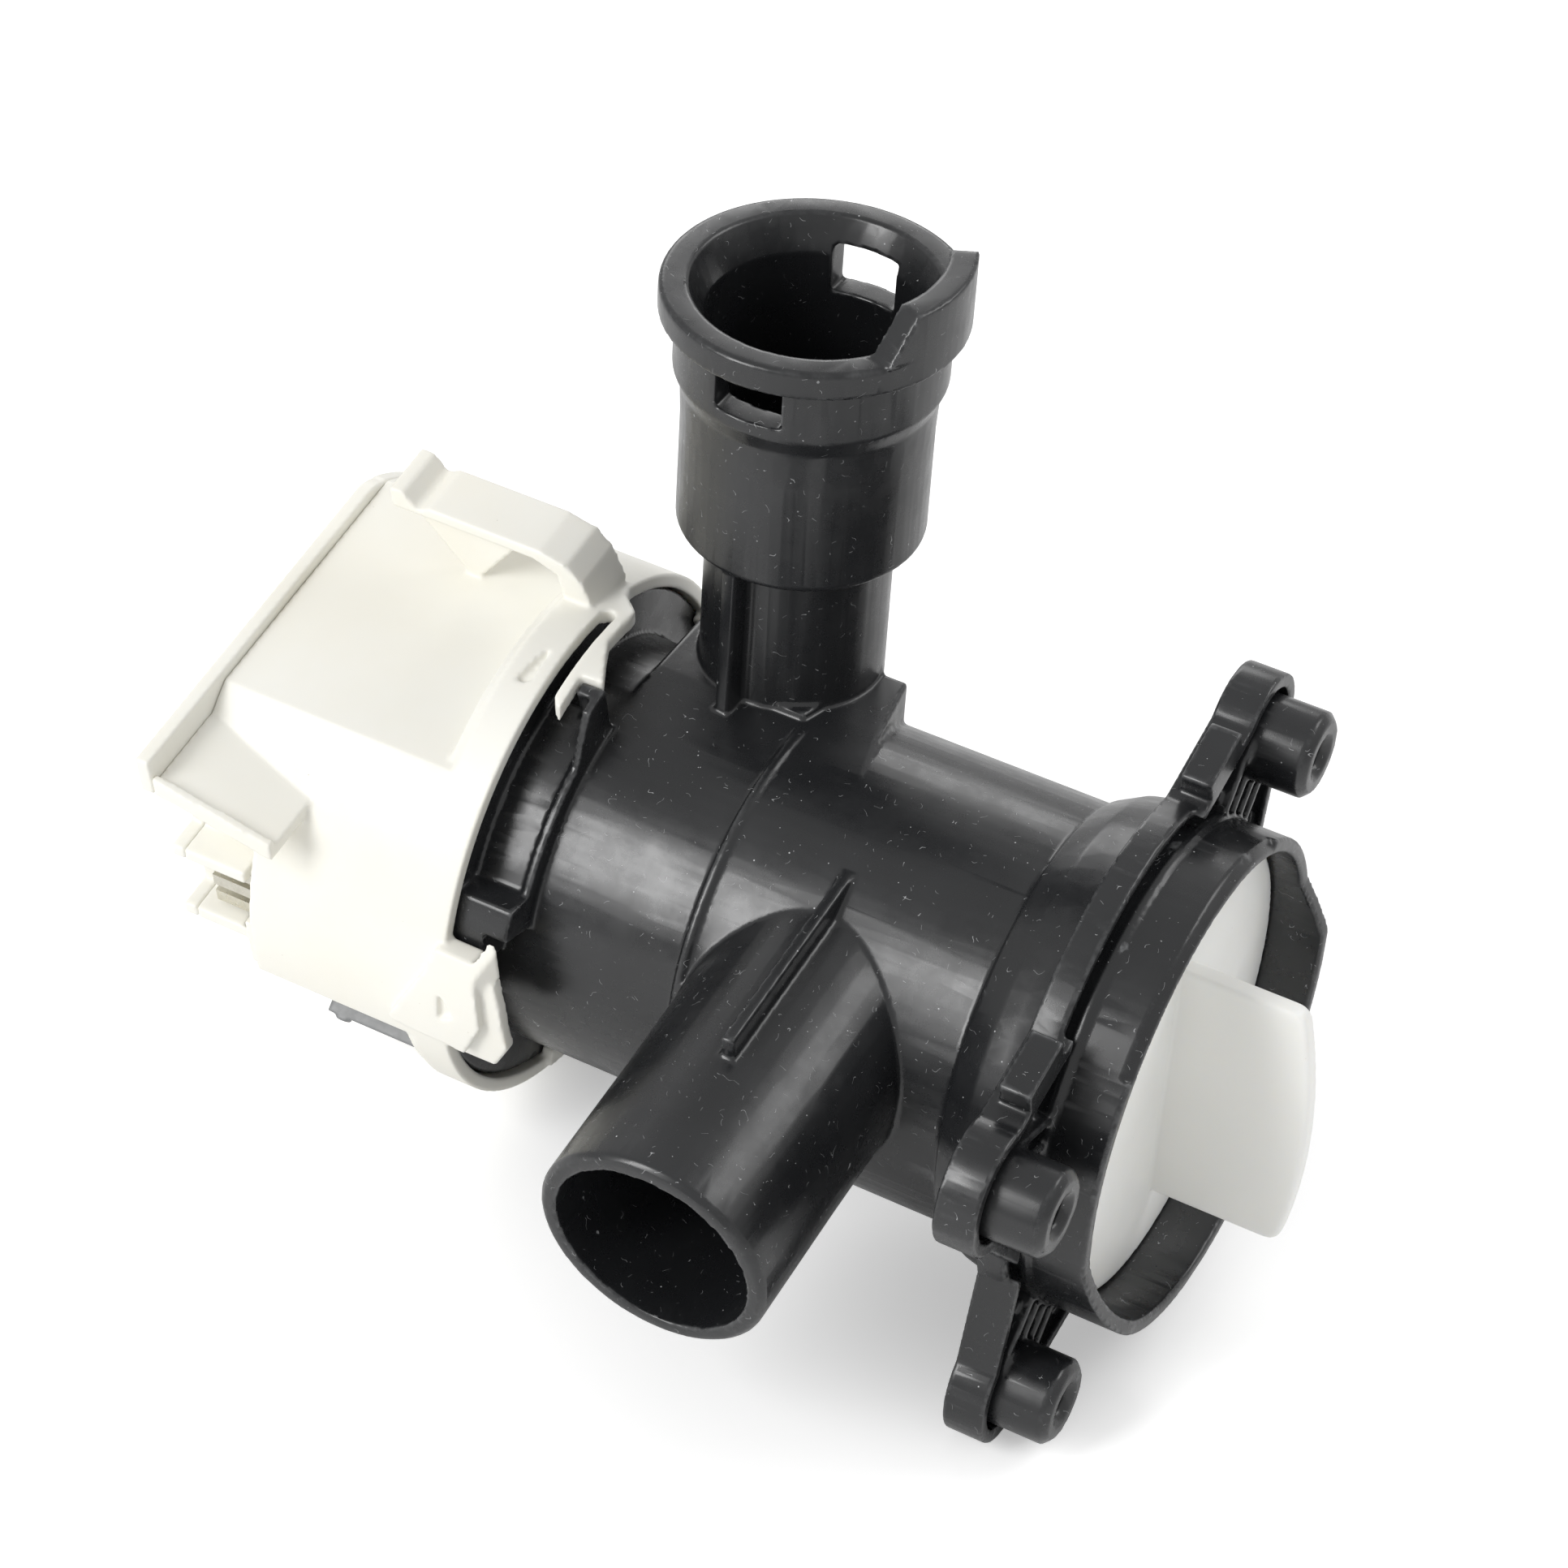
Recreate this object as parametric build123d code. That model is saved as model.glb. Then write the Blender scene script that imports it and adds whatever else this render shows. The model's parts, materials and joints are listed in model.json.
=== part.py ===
from build123d import *
from math import cos, radians, sin
import os

# Washer drain pump: a filter chamber with a screw-in filter, a volute, a hose socket, an inlet
# branch, and a wet-rotor motor held on by a bayonet. All lengths are in millimetres.
# The origin lies on the pump axis, in the plane of the three screw boss faces. +X runs along the
# pump axis out of the filter mouth, +Z runs up along the hose socket, and the inlet branch leaves
# toward -Y. Angles about the pump axis start at +Y and turn toward +Z.

# Shared clearances
overrun = 1.0
seat_gap = 0.05
bearing_gap = 0.03
body_gap = 0.3

# Filter chamber and volute
housing_wall = 2.4
volute_r = 28.0
volute_bore_r = volute_r - housing_wall
chamber_step = 0.9
chamber_r = volute_r + chamber_step
chamber_bore_r = chamber_r - housing_wall
rear_flange_x = -93.0
rear_flange_t = 2.7
rear_flange_front_x = rear_flange_x + rear_flange_t
rear_flange_h = 6.4
rear_flange_r = volute_r + rear_flange_h
volute_depth = 32.0
step_x = rear_flange_x + volute_depth
step_bead_l = 1.5
step_bead_w = 0.9
step_bead_h = 0.4
partition_t = 2.4
eye_r = 11.0
flare_start_x = -22.0
flare_lip = 0.9
flare_end_x = -18.3
flare_h = 2.9
flare_r = chamber_r + flare_h

# Collar round the filter mouth
collar_step = 4.1
collar_r = chamber_r + collar_step
collar_wall = 2.0
collar_bore_r = collar_r - collar_wall
collar_foot_h = 0.2
collar_front_x = 0.3
collar_seat_x = -11.4
tongue_x = 3.6
tongue_near_top_z = -6.3
tongue_near_low_z = -23.5
tongue_far_top_z = 11.3
tongue_far_low_z = 2.3
bead_x = -8.4
bead_w = 1.0
bead_h = 0.4
collar_bevel = 1.3
bevel_from = 62.0
bevel_to = 140.0
collar_split_w = 0.5
seal_pocket_step = 2.4
seal_pocket_r = collar_bore_r - seal_pocket_step
seal_pocket_x = -14.6

# Flange, ears and screw bosses
flange_back_x = -13.1
flange_front_x = -10.6
flange_h = 3.0
flange_r = collar_r + flange_h
flange_rim_t = 1.5
flange_rim_x = -9.0
boss_reach = 10.8
boss_circle_r = collar_r + boss_reach
boss_angles = (49.0, 163.0, 223.0)
boss_r = 5.8
boss_chamfer = 1.0
screw_bore_r = 2.2
screw_bore_mouth_r = 3.2
screw_bore_depth = 8.5
ear_end_r = 8.5
ear_front_x = -7.5
ear_wall = 1.8
ear_floor_t = 2.0
ear_lap = 1.5
ear_base_r = collar_r - ear_lap
ear_base_half = 16.0
ear_web_t = 1.1
ear_web_offsets_share = (-0.62, -0.22, 0.22, 0.62)
ear_pad_length = 9.0
ear_pad_height = 2.2
ear_pad_x = 4.2

# Outlet neck and hose socket, upright beside the pump axis and tangent to the volute
socket_from_flange = 24.1
socket_x = rear_flange_x + socket_from_flange
socket_inset = 11.8
socket_y = volute_r - socket_inset
neck_r = 12.1
neck_wall = 2.4
neck_bore_r = neck_r - neck_wall
socket_r = 15.95
socket_bore_r = 13.6
socket_under_z = 50.7
socket_under_edge = 0.9
socket_floor_t = 2.3
socket_floor_z = socket_under_z + socket_floor_t
socket_floor_cone_h = 2.2
socket_mid_r = 16.2
socket_mid_h = 16.3
socket_mid_low_z = socket_under_z + socket_mid_h
socket_mid_l = 5.2
socket_band_r = 17.2
socket_band_low_z = socket_mid_low_z + socket_mid_l
socket_band_cone_h = 2.4
socket_band_high_z = socket_band_low_z + socket_band_cone_h
socket_band_l = 8.1
rim_r = 19.3
rim_low_z = socket_band_high_z + socket_band_l
rim_h = 3.7
rim_top_z = rim_low_z + rim_h
mouth_r = 15.7
mouth_cone_h = 4.6
rim_edge = 0.4
window_drop = 6.4
window_rise = 0.2
window_low_z = rim_low_z - window_drop
window_high_z = rim_low_z + window_rise
window_w = 9.0
rim_skin = 1.5
tab_h = 6.2
tab_from = -24.0
tab_to = 27.0
tab_slope_deg = 12.0
neck_rib_t = 2.0
neck_rib_angle = -98.0
neck_rib_out = 3.2
outlet_block_rise = 0.12
outlet_block_top_z = chamber_r + outlet_block_rise
outlet_foot_inset = 11.6
outlet_foot_y = socket_y - outlet_foot_inset
outlet_foot_t = 0.9
outlet_tangent_deg = 102.0
outlet_block_left = 13.6
outlet_block_left_x = socket_x - outlet_block_left
outlet_block_reach = 11.3
outlet_block_right_x = step_x + outlet_block_reach
outlet_block_slant = 3.5
outlet_block_front_y = 1.5
outlet_block_corner = 2.4
outlet_block_corner_y = socket_y + outlet_block_corner

# Inlet branch, tilted down and set above the pump axis
branch_from_step = 16.8
branch_x = step_x + branch_from_step
branch_mouth_y = -61.8
branch_rise = 8.1
branch_tilt = 7.0
branch_r = 15.6
branch_root_r = 16.1
branch_wall = 2.4
branch_bore_r = branch_r - branch_wall
branch_edge = 0.7
branch_rib_t = 1.7
branch_rib_h = 2.8
branch_rib_from = 19.5
branch_rib_l = 31.0

# Bayonet runs on the volute: a land with a rib in front, between a ramped head and an end block
bayonet_count = 2
land_drop = 4.5
land_r = rear_flange_r - land_drop
land_l = 9.8
land_front_x = rear_flange_x + land_l
rib_w = 1.1
rib_h = 0.5
rib_front_x = land_front_x + rib_w
head_from = 105.1
head_bar_to = 108.2
head_to = 111.6
ramp_to = 121.5
head_h = 1.5
head_r = rear_flange_r + head_h
head_back = 7.55
head_back_x = rear_flange_x + head_back
block_foot_from = 154.0
block_from = 156.7
block_to = 164.0
block_tail_to = 173.0
block_tail_l = 7.6
block_tail_x = rear_flange_x + block_tail_l
block_drop = 0.2
block_r = rear_flange_r - block_drop

# Filter: cap with handle, basket and seal
cap_face_x = -3.9
cap_t = 2.6
cap_gap = 0.5
cap_r = collar_bore_r - cap_gap
skirt_gap = 0.4
skirt_r = chamber_bore_r - skirt_gap
skirt_wall = 2.4
skirt_back_x = -26.0
handle_half_t = 1.3
handle_low_z = -20.5
handle_high_z = 18.5
handle_low_x = 14.0
handle_high_x = 12.7
handle_bow = 2.2
handle_corner_r = 2.2
handle_edge_r = 0.5
seal_w = 2.4
seal_r = seal_pocket_r - body_gap
seal_back_x = -14.2
cap_shoulder_gap = 0.7
cap_shoulder_r = seal_pocket_r - cap_shoulder_gap
basket_r = skirt_r - skirt_wall - seat_gap
basket_wall = 1.8
basket_front_x = -16.0
basket_bars_x = -27.0
basket_end_gap = 3.5
basket_end_x = step_x + basket_end_gap
basket_end_t = 2.0
bar_count = 12
bar_w = 3.2
basket_eye_r = 9.0
basket_spoke_w = 2.6

# Motor cover lengths, from the housing's rear flange backward
motor_tilt = 10.85
ring_lap = 3.7
ring_front_x = rear_flange_x + ring_lap
ring_seat = 1.9
ring_back_x = rear_flange_x - ring_seat
drum_l = 23.6
drum_back_x = ring_back_x - drum_l
drum_floor_t = 2.0
box_depth = 10.7
box_back_x = drum_back_x - box_depth

# Pump cover with the rotor can
plug_h = 5.4
cover_plug_x = rear_flange_x + plug_h
cover_plug_r = volute_bore_r - body_gap
cover_plug_wall = 3.2
cover_t = 2.2
cover_flange_inset = 0.4
cover_flange_r = rear_flange_r - cover_flange_inset
can_share = 0.5771
can_r = can_share * cover_plug_r
can_wall = 1.1
can_end_x = drum_back_x + drum_floor_t + body_gap
can_end_t = 1.4
o_ring_t = 1.6
o_ring_from_flange = 2.4
o_ring_x = rear_flange_x + o_ring_from_flange
bearing_seat_wall = 1.8
bearing_seat_l = 3.6

# Stator length inside the drum
stator_from_ring = 3.7
stator_front_x = ring_back_x - stator_from_ring
stator_from_floor = 7.9
stator_back_x = drum_back_x + stator_from_floor

# Rotor
impeller_from_flange = 7.6
impeller_back_x = rear_flange_x + impeller_from_flange
impeller_h = 15.4
impeller_front_x = impeller_back_x + impeller_h
impeller_disc_t = 1.6
impeller_gap = 6.1
impeller_r = volute_bore_r - impeller_gap
impeller_hub_r = 6.0
blade_count = 5
blade_t = 1.6
blade_front_inset = 5.5
blade_front_r = impeller_r - blade_front_inset
blade_lean = 24.0
blade_inset = 0.3
nose_r = 4.0
nose_l = 2.0
shaft_r = 2.0
shaft_cap_l = 2.5
shaft_front_x = impeller_front_x - shaft_cap_l
shaft_end_gap = 0.6
shaft_back_x = can_end_x + can_end_t + shaft_end_gap
shaft_edge = 0.4
washer_from_disc = 1.9
washer_front_x = impeller_back_x - washer_from_disc
washer_t = 0.8
washer_r = 4.4
bearing_r = 5.0
bearing_drop = 0.8
front_bearing_x = cover_plug_x - bearing_drop
bearing_length = 6.0
bearing_length_rear = 4.0
holder_drop = 1.1
holder_x = cover_plug_x - holder_drop
holder_t = 5.2
water_gap = 0.9
magnet_r = can_r - can_wall - water_gap
magnet_ahead = 1.0
magnet_front_x = stator_front_x + magnet_ahead
magnet_short = 1.4
magnet_back_x = stator_back_x + magnet_short
sleeve_share = 0.4127
sleeve_r = sleeve_share * magnet_r
sleeve_out_front = 1.0
sleeve_out_back = 0.8
sleeve_front_x = magnet_front_x + sleeve_out_front
sleeve_back_x = magnet_back_x - sleeve_out_back

# Motor cover outline, turned about the pump axis as it locks in the bayonet
ring_bore_r = rear_flange_r + body_gap + seat_gap
ring_wall = 1.95
drum_r = ring_bore_r + ring_wall
drum_wall = 2.2
flat_depth = 5.7
flat_top_z = drum_r - flat_depth
low_flat_angle = -144.4
low_flat_depth = 4.7
low_flat_r = drum_r - low_flat_depth
box_low_z = -8.0
box_side_depth = 7.7
box_side_y = box_side_depth - drum_r
rear_t = 2.0
rear_lip = 1.4
rear_corner_inset = 14.7
rear_corner_y = drum_r - rear_corner_inset
rear_corner_r = 7.0
wing_back_drop = 2.6
wing_front_drop = 6.6
wing_back_z = flat_top_z - wing_back_drop
wing_front_z = flat_top_z - wing_front_drop
wing_l = 17.2
wing_front_x = box_back_x + wing_l
wing_w = 8.0
wing_y = box_side_y - wing_w
wing_t = 2.0
wing_root_share = 0.55
wing_rim_t = 1.2
wing_rim_h = 1.0
shelf_w = 5.0
shelf_y = box_side_y - shelf_w
shelf_t = 2.0
shelf_top_z = 12.0
shelf_l = 9.2
shelf_front_x = box_back_x + shelf_l
tray_top_z = 0.0
tray_l = 10.2
tray_front_x = box_back_x + tray_l
lug_from_rear = 8.2
lug_l = 4.0
lug_back_x = box_back_x + lug_from_rear
lug_front_x = lug_back_x + lug_l
lug_w = 5.6
lug_y = box_side_y - lug_w
lug_low_z = -6.0
lug_high_z = 2.3
lug_wall = 1.0
wall_back_t = 1.3
wall_edge = 0.5
wall_edge_r = drum_r - wall_edge
wall_hole_inset = 6.2
wall_hole_r = drum_r - wall_hole_inset
lock_lug_angles = (15.0, 254.0, 313.0)
lock_lug_deg = 16.0
lock_lug_h = 1.75
lock_lug_r = ring_bore_r - lock_lug_h
lock_lug_behind = 0.9
lock_lug_w = 1.8
stator_rib_angles = (10.0, 60.0, 120.0, 200.0, 255.0, 310.0)
stator_rib_t = 2.0

# Snap finger, grip, prong and toe on the locking ring, by the turn of each corner about the axis and
# its distance ahead of the ring's front as a share of the drum's radius
finger_t = 2.3
plate_step = 0.05
finger_shares = (
    -0.0163, 0.0054, 0.0245, 0.0681, 0.0954, 0.1035, 0.1035, 0.1335, 0.1853, 0.0967,
    0.0967, 0.0763, 0.0545, 0.0545, 0.0436, 0.0272, 0.0109, 0.0, -0.0163,
)
finger_turns = (
    64.0, 65.6, 68.2, 70.4, 72.2, 74.6, 83.6, 87.5, 93.7, 93.9,
    102.5, 102.0, 100.1, 76.4, 75.2, 74.7, 75.2, 76.4, 76.4,
)
grip_h = 1.4
grip_r = drum_r + grip_h
grip_shares = (-0.0191, 0.1281, 0.158, 0.1771, 0.1063, -0.1989, -0.2044, -0.0572)
grip_turns = (156.65, 156.85, 164.25, 171.75, 180.75, 180.0, 178.5, 163.05)
recess_t = 0.8
recess_shares = (0.0054, 0.0681, 0.0082)
recess_turns = (166.6, 171.6, 173.6)
prong_shares = (0.1281, 0.1798, 0.2071, 0.218, 0.1635, 0.1444, 0.0899)
prong_turns = (156.85, 150.65, 150.6, 151.9, 158.1, 160.5, 158.8)
prong_depth = 5.8
toe_shares = (-0.0136, 0.2016, 0.2343, 0.2616, 0.2016, -0.0136)
toe_turns = (161.2, 161.2, 167.4, 177.4, 184.3, 184.6)
ring_recess_t = 0.9
ring_recess_shares = (-0.1035, -0.0545, -0.0463, -0.079)
ring_recess_turns = (100.4, 99.4, 88.6, 94.4)

# Strap over the drum
strap_y = 8.6
strap_w = 8.1
strap_t = 1.9
strap_h = 11.6
strap_top_z = flat_top_z + strap_h
strap_overhang = 1.7
strap_back_x = drum_back_x - strap_overhang
strap_bend_l = 3.1
strap_bend_x = ring_back_x - strap_bend_l
strap_foot_inset = 1.1
strap_foot_x = ring_front_x - strap_foot_inset
strap_foot_drop = 1.9
strap_foot_z = drum_r - strap_foot_drop
strap_lip_h = 1.5
gusset_t = 1.8
gusset_y = 10.2
gusset_foot_l = 11.6
gusset_foot_x = strap_bend_x - gusset_foot_l
gusset_end_l = 3.0
gusset_end_x = strap_bend_x - gusset_end_l

# Grey lock slide on the lower flat of the drum
slide_from_floor = 1.9
slide_back_x = drum_back_x + slide_from_floor
slide_l = 14.3
slide_from = 3.4
slide_w = 5.0
slide_h = 3.5
slide_far_drop = 1.9
slide_r = low_flat_r + slide_h
slide_seat = 1.0
slide_toe_from = 1.4
slide_toe_l = 1.8
slide_toe_w = 2.0
slide_toe_h = 0.5

# Stator, windings and circuit board inside the motor cover
stator_inset = 8.4
stator_r = drum_r - stator_inset
stator_ring_t = 3.6
tooth_count = 4
tooth_turn = 45.0
tooth_w = 7.0
shoe_gap = 0.5
shoe_r = can_r + shoe_gap
shoe_t = 2.0
shoe_deg = 56.0
coil_inset = 5.0
coil_out_r = stator_r - coil_inset
bobbin_wall = 0.8
bobbin_flange_t = 1.0
bobbin_flange_h = 2.6
winding_t = 2.2
board_from_rear = 2.8
board_x = box_back_x + board_from_rear
board_t = 1.6
board_gap = 1.3
board_low_y = box_side_y + drum_wall + board_gap
board_high_y = 17.5
board_w = board_high_y - board_low_y
board_y = (board_high_y + board_low_y) / 2
board_z = 7.0
board_h = 22.0
board_edge = 4.0
post_r = 1.6
capacitor_r = 4.0
capacitor_l = 4.6
capacitor_shares = ((-0.35, 0.27), (0.42, 0.30))
chip_w = 6.0
chip_t = 1.6
chip_shares = ((-0.07, -0.23), (0.21, -0.23))
terminal_t = 0.8
terminal_w = 2.0
terminal_pitch = 3.2
terminal_count = 3
terminal_out = 2.6
terminal_y = box_side_y - terminal_out
terminal_z = 1.8
terminal_from_rear = 2.2
terminal_back_x = box_back_x + terminal_from_rear
terminal_bend = 3.1
terminal_bend_x = drum_back_x + terminal_bend
terminal_in = 4.4
terminal_inner_y = box_side_y + terminal_in


def arch_share(s):
    """Length along the arch from the strap's bend to its foot."""
    return (strap_foot_x - strap_bend_x) * s


def turned(points):
    """Solid of revolution about the pump axis from (x, radius) points."""
    return revolve(Polygon(*points, align=None), Axis.X)


def tube_x(x_low, x_high, r_out, r_in=0):
    """Tube or disc along the pump axis."""
    return turned([(x_low, r_in), (x_high, r_in), (x_high, r_out), (x_low, r_out)])


def sector_x(x_low, x_high, r_in, r_out, from_deg, to_deg):
    """Part of a ring about the pump axis between two angles."""
    section = Polygon((x_low, r_in), (x_high, r_in), (x_high, r_out), (x_low, r_out), align=None)
    return Rot(from_deg, 0, 0) * revolve(section, Axis.X, to_deg - from_deg)


def prism_x(outline, x_low, x_high):
    """Sketch in (y, z) drawn out along the pump axis."""
    return extrude(Plane.YZ.offset(x_low) * outline, x_high - x_low, dir=(1, 0, 0))


def block(x_low, x_high, y_low, y_high, z_low, z_high):
    """Box between six planes."""
    corner = Pos(x_low, y_low, z_low)
    least = (Align.MIN, Align.MIN, Align.MIN)
    return corner * Box(x_high - x_low, y_high - y_low, z_high - z_low, align=least)


def prism_y(points, y_low, y_high):
    """Polygon of (x, z) points drawn out along +Y."""
    face = Plane.XZ.offset(-y_low) * Polygon(*points, align=None)
    return extrude(face, y_high - y_low, dir=(0, 1, 0))


def turned_up(points):
    """Solid of revolution about the socket axis from (radius, z) points."""
    section = Plane.XZ * Polygon(*points, align=None)
    return Pos(socket_x, socket_y, 0) * revolve(section, Axis.Z)


def ring_corners(shares, turns, middle, radius):
    """Corners (x, y) of an outline that is wrapped on the locking ring and looked at from its middle."""
    return [
        (ring_front_x + share * drum_r, radius * sin(radians(turn - middle)))
        for share, turn in zip(shares, turns)
    ]


def wrapped(shares, turns, r_in, r_out):
    """Curved plate on the locking ring, from its corners."""
    middle = (max(turns) + min(turns)) / 2
    corners = ring_corners(shares, turns, middle, r_out)
    low_x = ring_front_x + min(shares) * drum_r
    high_x = ring_front_x + max(shares) * drum_r
    return Rot(middle, 0, 0) * (prism_y(corners, 0, r_out) & tube_x(low_x, high_x, r_out, r_in))


def polar(radius, angle_deg):
    """Point in (y, z) at a radius and an angle about the pump axis."""
    return radius * cos(radians(angle_deg)), radius * sin(radians(angle_deg))


def nearer_than(angle_deg, distance):
    """Sketch of everything nearer to the pump axis than the distance, along the given angle."""
    side = 4 * drum_r
    return Rot(0, 0, angle_deg) * Pos(distance - side / 2, 0) * Rectangle(side, side)


def ear_outline(inset):
    """Outline of one ear along local +X, drawn in by its wall where inset is not zero."""
    half = ear_base_half - inset
    end = ear_end_r - inset
    corners = [(ear_base_r, -half), (boss_circle_r, -end), (boss_circle_r, end), (ear_base_r, half)]
    return Polygon(*corners, align=None) + Pos(boss_circle_r, 0) * Circle(end)


def ear(angle_deg):
    """Hollow ear with its webs, open toward the filter mouth."""
    turn = Rot(0, 0, angle_deg)
    shell = prism_x(turn * ear_outline(0), flange_back_x, ear_front_x)
    hollow = prism_x(turn * ear_outline(ear_wall), flange_back_x + ear_floor_t, ear_front_x + overrun)
    body = shell - hollow
    web_l = boss_circle_r - ear_base_r
    for share in ear_web_offsets_share:
        web = Pos(ear_base_r + web_l / 2, share * ear_end_r) * Rectangle(web_l, ear_web_t)
        body += prism_x(turn * web, flange_back_x, ear_front_x)
    return body


def ear_pad(angle_deg, side):
    """Low pad on the outer side wall of an ear."""
    drop = ear_base_half - ear_end_r
    run = boss_circle_r - ear_base_r
    middle = Pos(ear_base_r + run / 2, side * (ear_end_r + drop / 2))
    lean = Rot(0, 0, -side * Vector(run, drop).get_angle(Vector(1, 0)))
    pad = Pos(0, side * ear_pad_height / 2) * Rectangle(ear_pad_length, 2 * ear_pad_height)
    return prism_x(Rot(0, 0, angle_deg) * middle * lean * pad, ear_front_x - ear_pad_x, ear_front_x)


def boss_place(angle_deg):
    """Centre line of a screw boss."""
    return Pos(0, *polar(boss_circle_r, angle_deg))


def boss(angle_deg):
    """Round screw boss with a chamfered face in the plane of the origin."""
    points = [
        (flange_back_x, 0),
        (flange_back_x, boss_r),
        (-boss_chamfer, boss_r),
        (0, boss_r - boss_chamfer),
        (0, 0),
    ]
    return boss_place(angle_deg) * turned(points)


def boss_hole(angle_deg):
    """Blind pilot hole for a self-tapping screw, with a countersunk mouth."""
    points = [
        (-screw_bore_depth, 0),
        (-screw_bore_depth, screw_bore_r),
        (screw_bore_r - screw_bore_mouth_r, screw_bore_r),
        (0, screw_bore_mouth_r),
        (overrun, screw_bore_mouth_r),
        (overrun, 0),
    ]
    return boss_place(angle_deg) * turned(points)


def chamber_outside():
    """Outer form of the volute, filter chamber, flare and collar about the pump axis."""
    points = [
        (rear_flange_x, 0),
        (rear_flange_x, rear_flange_r),
        (rear_flange_front_x, rear_flange_r),
        (rear_flange_front_x, volute_r),
        (step_x, volute_r),
        (step_x + (step_bead_l - step_bead_w) / 2, chamber_r + step_bead_h),
        (step_x + (step_bead_l + step_bead_w) / 2, chamber_r + step_bead_h),
        (step_x + step_bead_l, chamber_r),
        (flare_start_x, chamber_r),
        (flare_start_x, chamber_r + flare_lip),
        (flare_end_x, flare_r),
        (flange_back_x, collar_r),
        (tongue_x, collar_r),
        (tongue_x, 0),
    ]
    flange = tube_x(flange_back_x, flange_front_x, flange_r)
    rim = tube_x(flange_back_x, flange_rim_x, flange_r, flange_r - flange_rim_t)
    foot = tube_x(flange_back_x, bead_x, collar_r + collar_foot_h)
    bead = tube_x(bead_x, bead_x + bead_w, collar_r + bead_h)
    return turned(points) + flange + rim + foot + bead


def chamber_inside():
    """Volute room, eye, filter bore, seal pocket and collar bore."""
    volute_front_x = step_x - partition_t
    points = [
        (rear_flange_x - overrun, 0),
        (rear_flange_x - overrun, volute_bore_r),
        (volute_front_x, volute_bore_r),
        (volute_front_x, eye_r),
        (step_x, eye_r),
        (step_x, chamber_bore_r),
        (seal_pocket_x, chamber_bore_r),
        (seal_pocket_x, seal_pocket_r),
        (collar_seat_x, seal_pocket_r),
        (collar_seat_x, collar_bore_r),
        (tongue_x + overrun, collar_bore_r),
        (tongue_x + overrun, 0),
    ]
    return turned(points)


def collar_trim():
    """What the collar leaves off in front: all but a tongue along the bottom and the far side."""
    top = collar_r + overrun
    ahead = tongue_x + overrun
    near = [
        (collar_front_x, top),
        (collar_front_x, tongue_near_top_z),
        (tongue_x, tongue_near_low_z),
        (ahead, tongue_near_low_z),
        (ahead, top),
    ]
    far = [
        (collar_front_x, top),
        (collar_front_x, tongue_far_top_z),
        (tongue_x, tongue_far_low_z),
        (ahead, tongue_far_low_z),
        (ahead, top),
    ]
    trim = prism_y(near, -top, 0) + prism_y(far, 0, top)
    bevel = Polygon(
        (collar_front_x - collar_bevel, collar_r + overrun),
        (collar_front_x - collar_bevel, collar_r),
        (collar_front_x, collar_r - collar_bevel),
        (collar_front_x + overrun, collar_r - collar_bevel),
        (collar_front_x + overrun, collar_r + overrun),
        align=None,
    )
    trim += Rot(bevel_from, 0, 0) * revolve(bevel, Axis.X, bevel_to - bevel_from)
    split = Pos(0, collar_r, 0) * block(
        bead_x, tongue_x, -collar_split_w, overrun, -collar_split_w / 2, collar_split_w / 2
    )
    return trim + Rot(bevel_to, 0, 0) * split


def socket_outside():
    """Neck, socket body, band under the rim, and rim."""
    points = [
        (0, 0),
        (neck_r, 0),
        (neck_r, socket_under_z),
        (socket_r - socket_under_edge, socket_under_z),
        (socket_r, socket_under_z + socket_under_edge),
        (socket_r, socket_mid_low_z),
        (socket_mid_r, socket_band_low_z),
        (socket_band_r, socket_band_high_z),
        (socket_band_r, rim_low_z),
        (rim_r, rim_low_z),
        (rim_r, rim_top_z - rim_edge),
        (rim_r - rim_edge, rim_top_z),
        (0, rim_top_z),
    ]
    return turned_up(points)


def socket_inside():
    """Bore of the socket with a tapered mouth, above the neck's bore."""
    points = [
        (0, outlet_block_top_z),
        (neck_bore_r, outlet_block_top_z),
        (neck_bore_r, socket_floor_z),
        (socket_bore_r, socket_floor_z + socket_floor_cone_h),
        (socket_bore_r, rim_top_z - mouth_cone_h),
        (mouth_r, rim_top_z),
        (mouth_r, rim_top_z + overrun),
        (0, rim_top_z + overrun),
    ]
    return turned_up(points)


def socket_windows():
    """Two snap-in windows through the socket wall, under the skin of the rim."""
    reach = rim_r - rim_skin
    slot = Box(window_w, 2 * reach, window_high_z - window_low_z)
    return Pos(socket_x, socket_y, (window_low_z + window_high_z) / 2) * slot


def rim_tab():
    """Raised arc on the rim that steers the hose's own rib, with one sloped end."""
    section = Plane.XZ * Polygon(
        (mouth_r, rim_top_z - rim_edge),
        (rim_r, rim_top_z - rim_edge),
        (rim_r, rim_top_z + tab_h),
        (mouth_r, rim_top_z + tab_h),
        align=None,
    )
    arc = Rot(0, 0, tab_from) * revolve(section, Axis.Z, tab_to - tab_from)
    wedge_l = rim_r * radians(tab_slope_deg)
    wedge = Plane.YZ * Polygon((0, tab_h), (0, 0), (-wedge_l, 0), align=None)
    slope = extrude(wedge, rim_r - mouth_r, dir=(1, 0, 0))
    slope = Rot(0, 0, tab_from) * Pos(mouth_r, 0, rim_top_z) * slope
    return Pos(socket_x, socket_y, 0) * (arc + slope)


def neck_rib():
    """Fin that runs down the neck to the outlet block."""
    top_z = socket_under_z + socket_under_edge
    fin = block(0, neck_r + neck_rib_out, -neck_rib_t / 2, neck_rib_t / 2, 0, top_z)
    return Pos(socket_x, socket_y, 0) * Rot(0, 0, neck_rib_angle) * fin


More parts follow.
